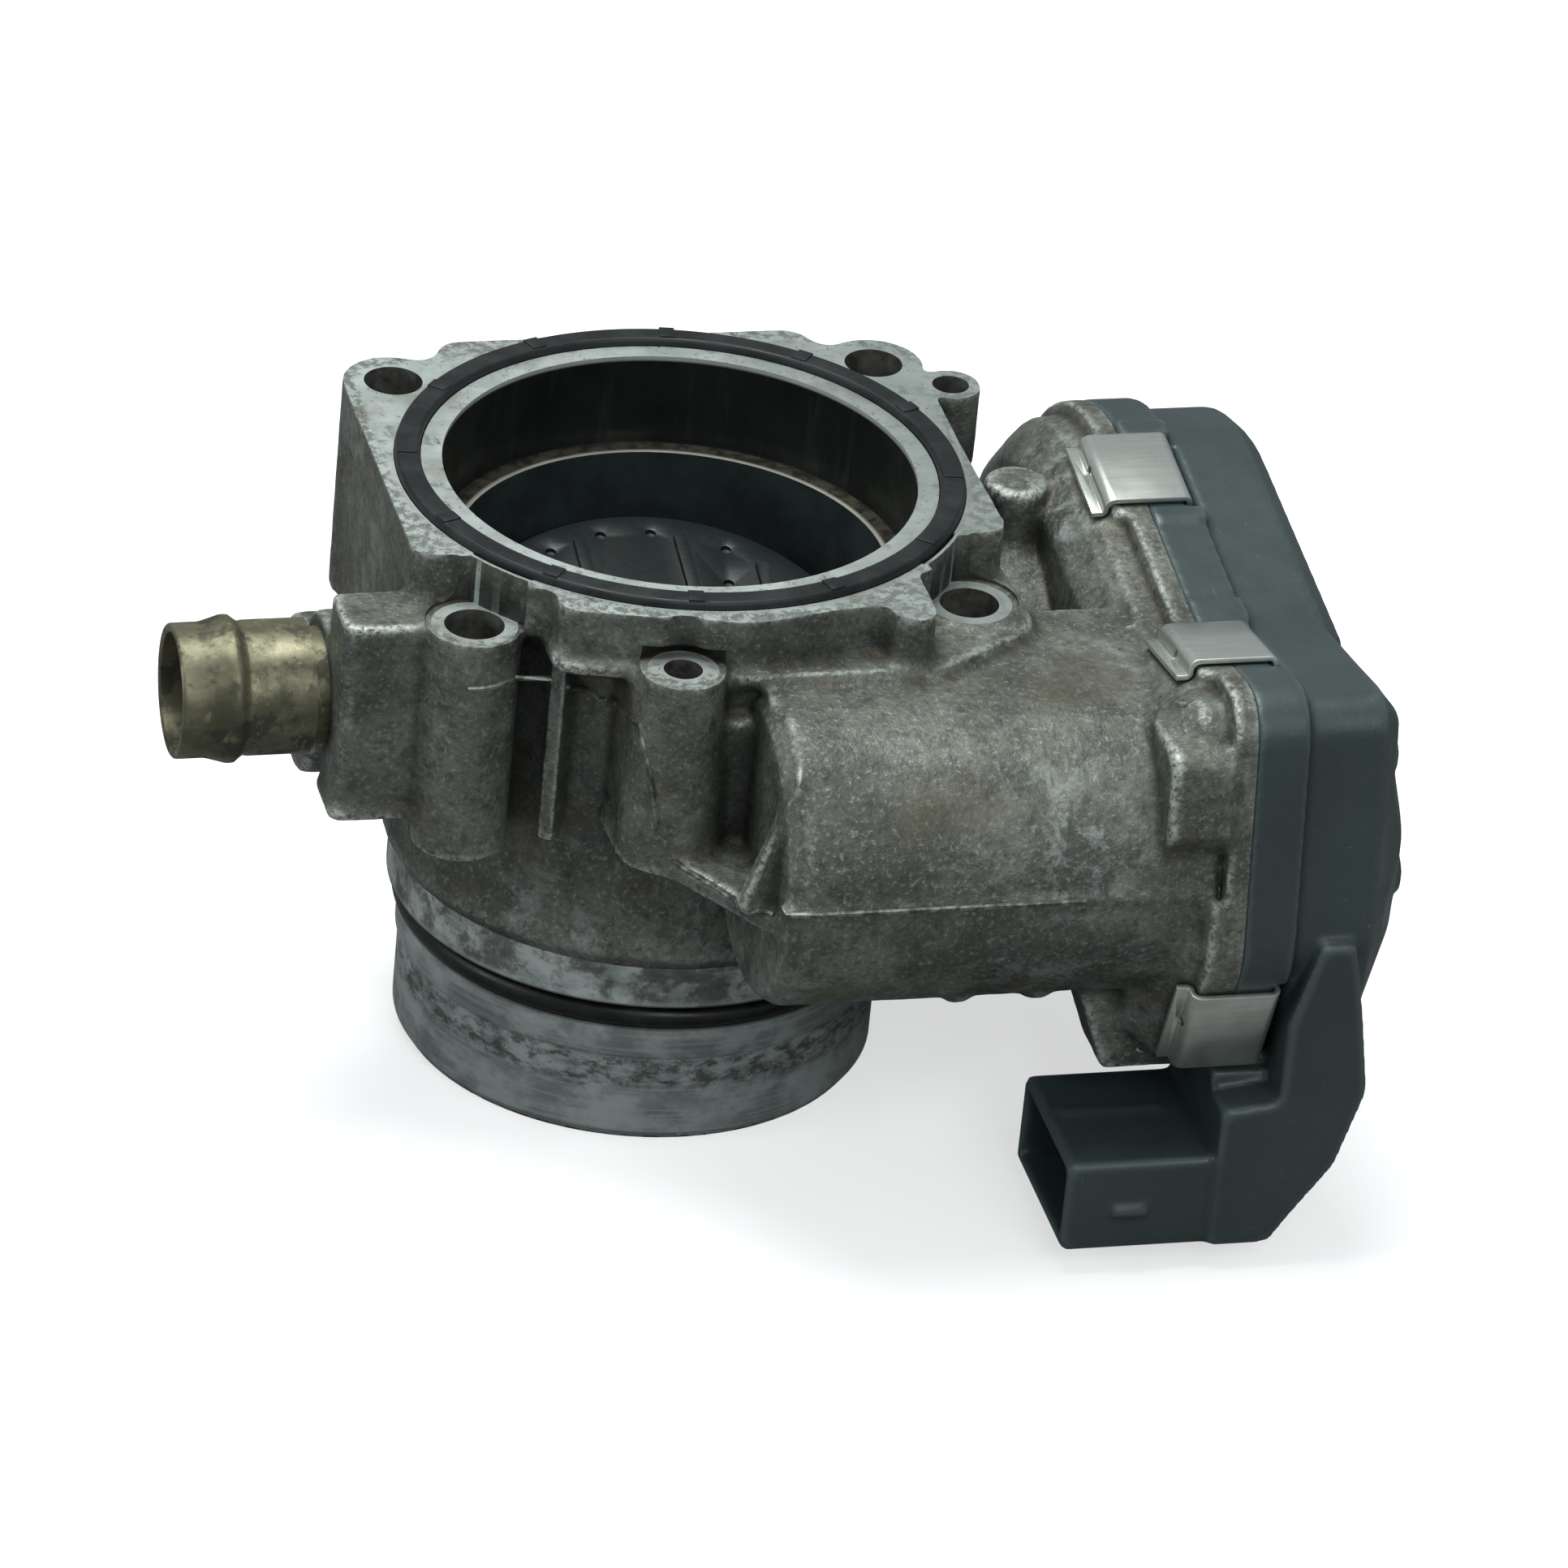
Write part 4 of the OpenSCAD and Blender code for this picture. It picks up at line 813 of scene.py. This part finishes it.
def cast_housing(skins):
    """The housing as it is made: a rounded, slightly rough casting with stock on it, then machined."""
    body = welded("housing", "cast_housing", skins["cast"])
    raised = welded("housing", "raised", skins["cast"], shift=(0, 0, STOCK))
    combine(raised, block("above", (-0.1, -0.1, -1.2 * MM), (FLANGE_END_X, 0.1, 0.02)), "INTERSECT")
    combine(body, raised, "UNION")
    grown = welded("housing", "grown", skins["cast"], shift=(STOCK, 0, 0))
    combine(grown, block("beyond", (joint_x - 1.2 * MM, -0.1, -0.1), (0.1, 0.1, 0.02)), "INTERSECT")
    combine(body, grown, "UNION")
    for fill, _ in cavity_fills(skins):
        combine(body, fill, "UNION")
    combine(body, rod("seal_fill", 41.9 * MM, -4 * MM, STOCK, (0, 0)), "UNION")
    combine(body, rod("post_fill", 6 * MM, screw_post_top - 2 * MM, screw_post_top + STOCK, front_screw), "UNION")
    combine(body, rod("spigot_fill", 38.6 * MM, floor_z - STOCK, -61.5 * MM, (0, 0)), "UNION")
    for sx in (-1, 1):
        seat = (sx * bolt_x, -bolt_y)
        combine(body, rod("seat_fill", 6.7 * MM, seat_z - 2 * MM, seat_z + STOCK, seat), "UNION")
        wall = rod("wall_fill", 8.6 * MM, seat_z - STOCK, STOCK, seat)
        combine(wall, rod("ring", GROOVE_WALL_R + 1.2 * MM, seat_z - 2 * STOCK, 2 * STOCK, (0, 0)), "INTERSECT")
        combine(body, wall, "UNION")
    remesh(body, CAST_VOXEL)
    mesh = body.data
    co = relax(coords(mesh), edge_ends(mesh), CAST_ROUNDS)
    mesh.vertices.foreach_set("co", co.ravel())
    mesh.update()
    roughen(body, 0.07 * MM, 3.2 * MM)
    crease_and_edge_masks(body, 0.55 * MM)
    raw = body.data.copy()
    mesh.materials.clear()
    mesh.materials.append(skins["cast"])
    for path in FLASH_PATHS_MM:
        combine(body, flash_line("flash", path, 0.42 * MM, body, skins["edge"]), "UNION")

    combine(body, block("top_plane", (-0.1, -0.1, 0), (FLANGE_END_X, 0.1, 0.02), skins["face"]), "DIFFERENCE")
    combine(body, block("joint_plane", (joint_x, -0.1, -0.1), (0.1, 0.1, 0.02), skins["clean"]), "DIFFERENCE")
    for sx in (-1, 1):
        seat = (sx * bolt_x, -bolt_y)
        for reach, depth, skin in ((7.0 * MM, 0, "cast"), (6.1 * MM, 0.05 * MM, "face")):
            spot_face = rod("spot_face", reach, seat_z - depth, STOCK, seat, material=skins[skin])
            combine(spot_face, rod("groove_wall", GROOVE_WALL_R, seat_z - STOCK, 2 * STOCK, (0, 0), sides=256),
                    "DIFFERENCE")
            combine(body, spot_face, "DIFFERENCE")
    for reach, depth, skin in ((6.3 * MM, 0, "cast"), (5.0 * MM, 0.05 * MM, "face")):
        combine(body, rod("post_face", reach, screw_post_top - depth, STOCK * 2 + screw_post_top, front_screw,
                          material=skins[skin]), "DIFFERENCE")
    spigot_air = rod("spigot_air", 45 * MM, floor_z - 2 * MM, -60.3 * MM, (0, 0))
    combine(body, void_of("spigot_cut", spigot_air, skins["spigot"]), "DIFFERENCE")
    # the fills stuck out past the casting here, so their skins are trimmed off flush with it
    for radius, face, centre in ((10.2 * MM, -54.05 * MM, nipple_c), (8.6 * MM, -53.85 * MM, throttle_c)):
        combine(body, rod("trim", radius, -70 * MM, face, centre, "X", skins["cast"]), "DIFFERENCE")
    points = coords(nodes["housing"].data)
    for sx in (-1, 1):
        for sy in (-1, 1):
            reach = np.hypot(points[:, 0] - sx * bolt_x, points[:, 1] - sy * bolt_y)
            post_end = points[abs(reach - bolt_r) < 0.3 * MM, 2].min()
            combine(body, rod("trim", bolt_r + 1.2 * MM, -60 * MM, post_end - 0.05 * MM, (sx * bolt_x, sy * bolt_y),
                              material=skins["cast"]), "DIFFERENCE")
    for fill, skin in cavity_fills(skins):
        combine(body, void_of("cut", fill, skin), "DIFFERENCE")
    groove = lathe("seal_groove", [(36.7 * MM, -3.2 * MM), (41.2 * MM, -3.2 * MM), (41.2 * MM, 2 * MM),
                                   (36.7 * MM, 2 * MM)])
    combine(body, void_of("groove_cut", groove, skins["face"]), "DIFFERENCE")
    carry_crease_and_edge_masks(raw, body)
    drop_loose_films(body)
    crisp(body)
    return body


# ---- moulded cover ----
def moulded_cover(skin):
    body = welded("gear_cover", "moulded_cover", skin)
    remesh(body, 0.5 * MM)
    mesh = body.data
    mesh.vertices.foreach_set("co", relax(coords(mesh), edge_ends(mesh), 5).ravel())
    mesh.update()
    crease_and_edge_masks(body, 0.4 * MM)
    mesh.materials.clear()
    mesh.materials.append(skin)
    crisp(body, 50)
    return body


# ---- small pieces ----
def rounded_path(points, radii, steps=6):
    """Open 2-D polyline with its corners rounded."""
    path = [Vector(points[0])]
    for before, corner, after, radius in zip(points, points[1:], points[2:], radii):
        before, corner, after = Vector(before), Vector(corner), Vector(after)
        u, v = (before - corner).normalized(), (after - corner).normalized()
        half = u.angle(v) / 2
        start, end = corner + u * radius / math.tan(half), corner + v * radius / math.tan(half)
        centre = corner + (u + v).normalized() * radius / math.sin(half)
        for k in range(steps + 1):
            arm = (start - centre).lerp(end - centre, k / steps).normalized() * radius
            path.append(centre + arm)
    path.append(Vector(points[-1]))
    return path


def strip_along(name, path, thickness, width, place_point, material):
    """Sheet metal of a given thickness, bent along a 2-D path and extruded to its width."""
    shape = bmesh.new()
    rows = []
    for i, point in enumerate(path):
        ahead = path[min(i + 1, len(path) - 1)] - path[max(i - 1, 0)]
        side = Vector((-ahead.y, ahead.x)).normalized() * thickness / 2
        row = []
        for p in (point + side, point - side):
            for w in (-width / 2, width / 2):
                row.append(shape.verts.new(place_point(p.x, p.y, w)))
        rows.append(row)
    for here, there in zip(rows, rows[1:]):
        for a, b in ((0, 1), (1, 3), (3, 2), (2, 0)):
            shape.faces.new((here[a], here[b], there[b], there[a]))
    for end in (rows[0], rows[-1]):
        shape.faces.new((end[0], end[1], end[3], end[2]))
    bmesh.ops.recalc_face_normals(shape, faces=shape.faces)
    piece = link(name, to_mesh(name, shape, material))
    soften(piece, 0.12 * MM, 60)
    return piece


def soften(piece, width, degrees=30):
    """Rounds the sharp edges of a small piece by a narrow bevel."""
    mod = piece.modifiers.new("bevel", "BEVEL")
    mod.width = width
    mod.segments = 2
    mod.limit_method = "ANGLE"
    mod.angle_limit = math.radians(degrees)
    settle(piece)
    crisp(piece, 40)


def islands(node):
    """The vertex lists of each separate solid in a CAD node."""
    shape = bmesh.new()
    shape.from_mesh(nodes[node].data)
    bmesh.ops.remove_doubles(shape, verts=shape.verts, dist=1e-6)
    left, groups = set(shape.verts), []
    while left:
        stack, group = [left.pop()], []
        while stack:
            v = stack.pop()
            group.append(v.co.copy())
            for e in v.link_edges:
                w = e.other_vert(v)
                if w in left:
                    left.remove(w)
                    stack.append(w)
        groups.append(group)
    shape.free()
    return groups


def spring_clips(material):
    """Bent strips over the joint, each set where its CAD solid lies: along it runs t, away from the case n."""
    case_mid = (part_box("cover_seal")[0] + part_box("cover_seal")[1]) / 2
    whole = None
    for number, group in enumerate(islands("spring_clips")):
        left, right = min(p.x for p in group), max(p.x for p in group)
        flat = np.array([(p.y, p.z) for p in group])
        far = max(((a, b) for a in flat for b in flat), key=lambda pair: np.sum((pair[0] - pair[1]) ** 2))
        ends = [q for q in flat if abs(np.linalg.norm(q - far[0]) - 4 * MM) < 0.6 * MM]
        edge = min((far[1] - q for q in ends), key=lambda e: abs(np.linalg.norm(e) - 15.5 * MM))
        t = edge / np.linalg.norm(edge)
        n = np.array([-t[1], t[0]])
        centre = (far[0] + far[1]) / 2
        if np.dot(n, centre - np.array([case_mid.y, case_mid.z])) < 0:
            n = -n
        top = max(np.dot(q, n) for q in flat)
        middle = (max(np.dot(q, t) for q in flat) + min(np.dot(q, t) for q in flat)) / 2

        def spot(x, up, along):
            y, z = n * (top + up) + t * (middle + along)
            return (x, y, z)

        half = 0.4 * MM
        path = rounded_path(
            [(left, -2.65 * MM), (left + 2.1 * MM, -2.65 * MM), (left + 2.1 * MM, -half), (right - half, -half),
             (right - half, -3.9 * MM)], [0.7 * MM, 1.3 * MM, 0.9 * MM])
        clip = strip_along("clip", path, 2 * half, 15.5 * MM, spot, material)
        hole = spot(left + 2.1 * MM, -1.6 * MM, 1.2 * MM)
        combine(clip, rod("hole", 0.75 * MM, left + 1 * MM, left + 3.4 * MM, hole, "X", material, 24), "DIFFERENCE")
        crisp(clip, 40)
        if whole is None:
            whole = clip
        else:
            shape = bmesh.new()
            shape.from_mesh(whole.data)
            shape.from_mesh(clip.data)
            shape.to_mesh(whole.data)
            shape.free()
            bpy.data.objects.remove(clip)
    whole.name = "clips"
    return whole


def inlet_seal(material):
    """Ring seal with a rounded rim and small locating nubs."""
    low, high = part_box("inlet_seal")
    out_r = high.x
    in_r = 37.15 * MM
    top = 1.2 * MM
    rim = 0.9 * MM
    profile = [(in_r, low.z), (out_r, low.z)]
    for k in range(7):
        turn = math.pi / 2 * k / 6
        profile.append((out_r - rim * 0.7 * (1 - math.cos(turn)), top - rim * (1 - math.sin(turn))))
    for k in range(7):
        turn = math.pi / 2 * (1 - k / 6)
        profile.append((in_r + rim * 0.7 * (1 - math.cos(turn)), top - rim * (1 - math.sin(turn))))
    ring = lathe("ring_seal", profile, sides=256, material=material)
    for k in range(12):
        turn = math.radians(20 + 30 * k)
        nub = block("nub", (in_r + 0.5 * MM, -1.1 * MM, 0.4 * MM), (out_r - 0.35 * MM, 1.1 * MM, top + 0.22 * MM))
        nub.data.transform(Matrix.Rotation(turn, 4, "Z"))
        combine(ring, nub, "UNION")
    soften(ring, 0.12 * MM, 35)
    return ring


def hose_nipple(material):
    """Drawn brass tube with a barb, a rolled lip and an open end."""
    low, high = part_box("hose_nipple")
    tip = low.x
    bead_r = (high.z - low.z) / 2
    r = nipple_r
    wall = 1.25 * MM
    profile = [
        (r - wall, tip + 0.25 * MM), (r - wall * 0.8, tip + 0.06 * MM), (r - wall * 0.5, tip), (r - 0.25 * MM, tip),
        (r - 0.05 * MM, tip + 0.2 * MM), (r, tip + 0.6 * MM), (r, tip + 4.2 * MM), (r + 0.15 * MM, tip + 4.9 * MM),
        (bead_r - 0.25 * MM, tip + 6.6 * MM), (bead_r - 0.04 * MM, tip + 7.3 * MM), (bead_r, tip + 7.9 * MM),
        (bead_r - 0.06 * MM, tip + 8.4 * MM), (bead_r - 0.4 * MM, tip + 8.8 * MM), (r - 0.02 * MM, tip + 9.5 * MM),
        (r - 0.12 * MM, tip + 9.9 * MM), (r, tip + 10.4 * MM), (r, high.x - 10.55 * MM),
        (r - 1.3 * MM, high.x - 10.5 * MM), (r - 1.3 * MM, high.x), (r - 2.6 * MM, high.x),
        (r - 2.6 * MM, tip + 9 * MM), (r - 1.6 * MM, tip + 6 * MM)]
    tube = lathe("hose_tube", profile, "X", (0, nipple_c.y, nipple_c.z), 128, material)
    crisp(tube, 40)
    return tube


def refined(node, name, material, bevel=0.15):
    """A closed copy of a CAD node with its sharp edges broken."""
    piece = welded(node, name, material)
    soften(piece, bevel * MM, 40)
    return piece


def stand_for(piece, node, body):
    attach(piece, body)
    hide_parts(node)


# ---- build ----
add_camera()
add_studio()

skins = {
    "cast": cast_aluminium(),
    "edge": worn_edge(),
    "face": machined_face(),
    "bore": bore_wall(),
    "spigot": turned_spigot(),
    "hole": dark_hole(),
    "clean": clean_cut(),
}
plastic = cover_plastic()
clip_metal = clip_steel()
brass = tarnished_brass()
seal_rubber = rubber("seal_rubber", (0.004, 0.0055, 0.006), (0.012, 0.016, 0.017), 0.5)
black_rubber = rubber("black_rubber", (0.004, 0.004, 0.004), (0.012, 0.012, 0.012), 0.35)

inner_looks = {
    "cast_aluminium": skins["cast"],
    "black_rubber": black_rubber,
    "brass": plain_metal("clean_brass", (0.5, 0.4, 0.2), (0.68, 0.56, 0.3)),
    "plate_black": plate_black(),
    "steel": plain_metal("ground_steel", (0.42, 0.42, 0.41), (0.6, 0.6, 0.59)),
    "clip_steel": clip_metal,
    "cover_plastic": plastic,
    "black_plastic": plain_plastic("black_plastic", (0.015, 0.015, 0.015), (0.03, 0.03, 0.03)),
    "gear_plastic": plain_plastic("gear_plastic", (0.62, 0.58, 0.46), (0.76, 0.73, 0.62)),
    "magnet": plain_metal("sintered_magnet", (0.05, 0.05, 0.055), (0.12, 0.12, 0.125), 0.55),
    "bronze": plain_metal("sintered_bronze", (0.36, 0.22, 0.1), (0.55, 0.38, 0.2), 0.5),
    "copper": plain_metal("enamelled_copper", (0.42, 0.14, 0.05), (0.6, 0.25, 0.1), 0.35, (1, 0.15, 1)),
    "carbon": plain_metal("brush_carbon", (0.02, 0.02, 0.02), (0.06, 0.06, 0.06), 0.6),
    "tinned_contact": plain_metal("tinned_contact", (0.5, 0.49, 0.44), (0.7, 0.69, 0.64)),
    "board_green": plain_plastic("board_green", (0.01, 0.06, 0.03), (0.02, 0.1, 0.05), 0.35),
}
for row in record["subparts"]:
    for place_slot in nodes[row["node"]].material_slots:
        place_slot.link = "OBJECT"
        place_slot.material = inner_looks[row["material_slot"]]

stand_for(cast_housing(skins), "housing", "casing")
stand_for(moulded_cover(plastic), "gear_cover", "casing")
stand_for(inlet_seal(seal_rubber), "inlet_seal", "casing")
stand_for(hose_nipple(brass), "hose_nipple", "casing")
stand_for(refined("throttle_plate", "butterfly", inner_looks["plate_black"], 0.2), "throttle_plate", "throttle")
stand_for(refined("connector_pins", "pins", inner_looks["tinned_contact"], 0.12), "connector_pins", "casing")
stand_for(spring_clips(clip_metal), "spring_clips", "casing")
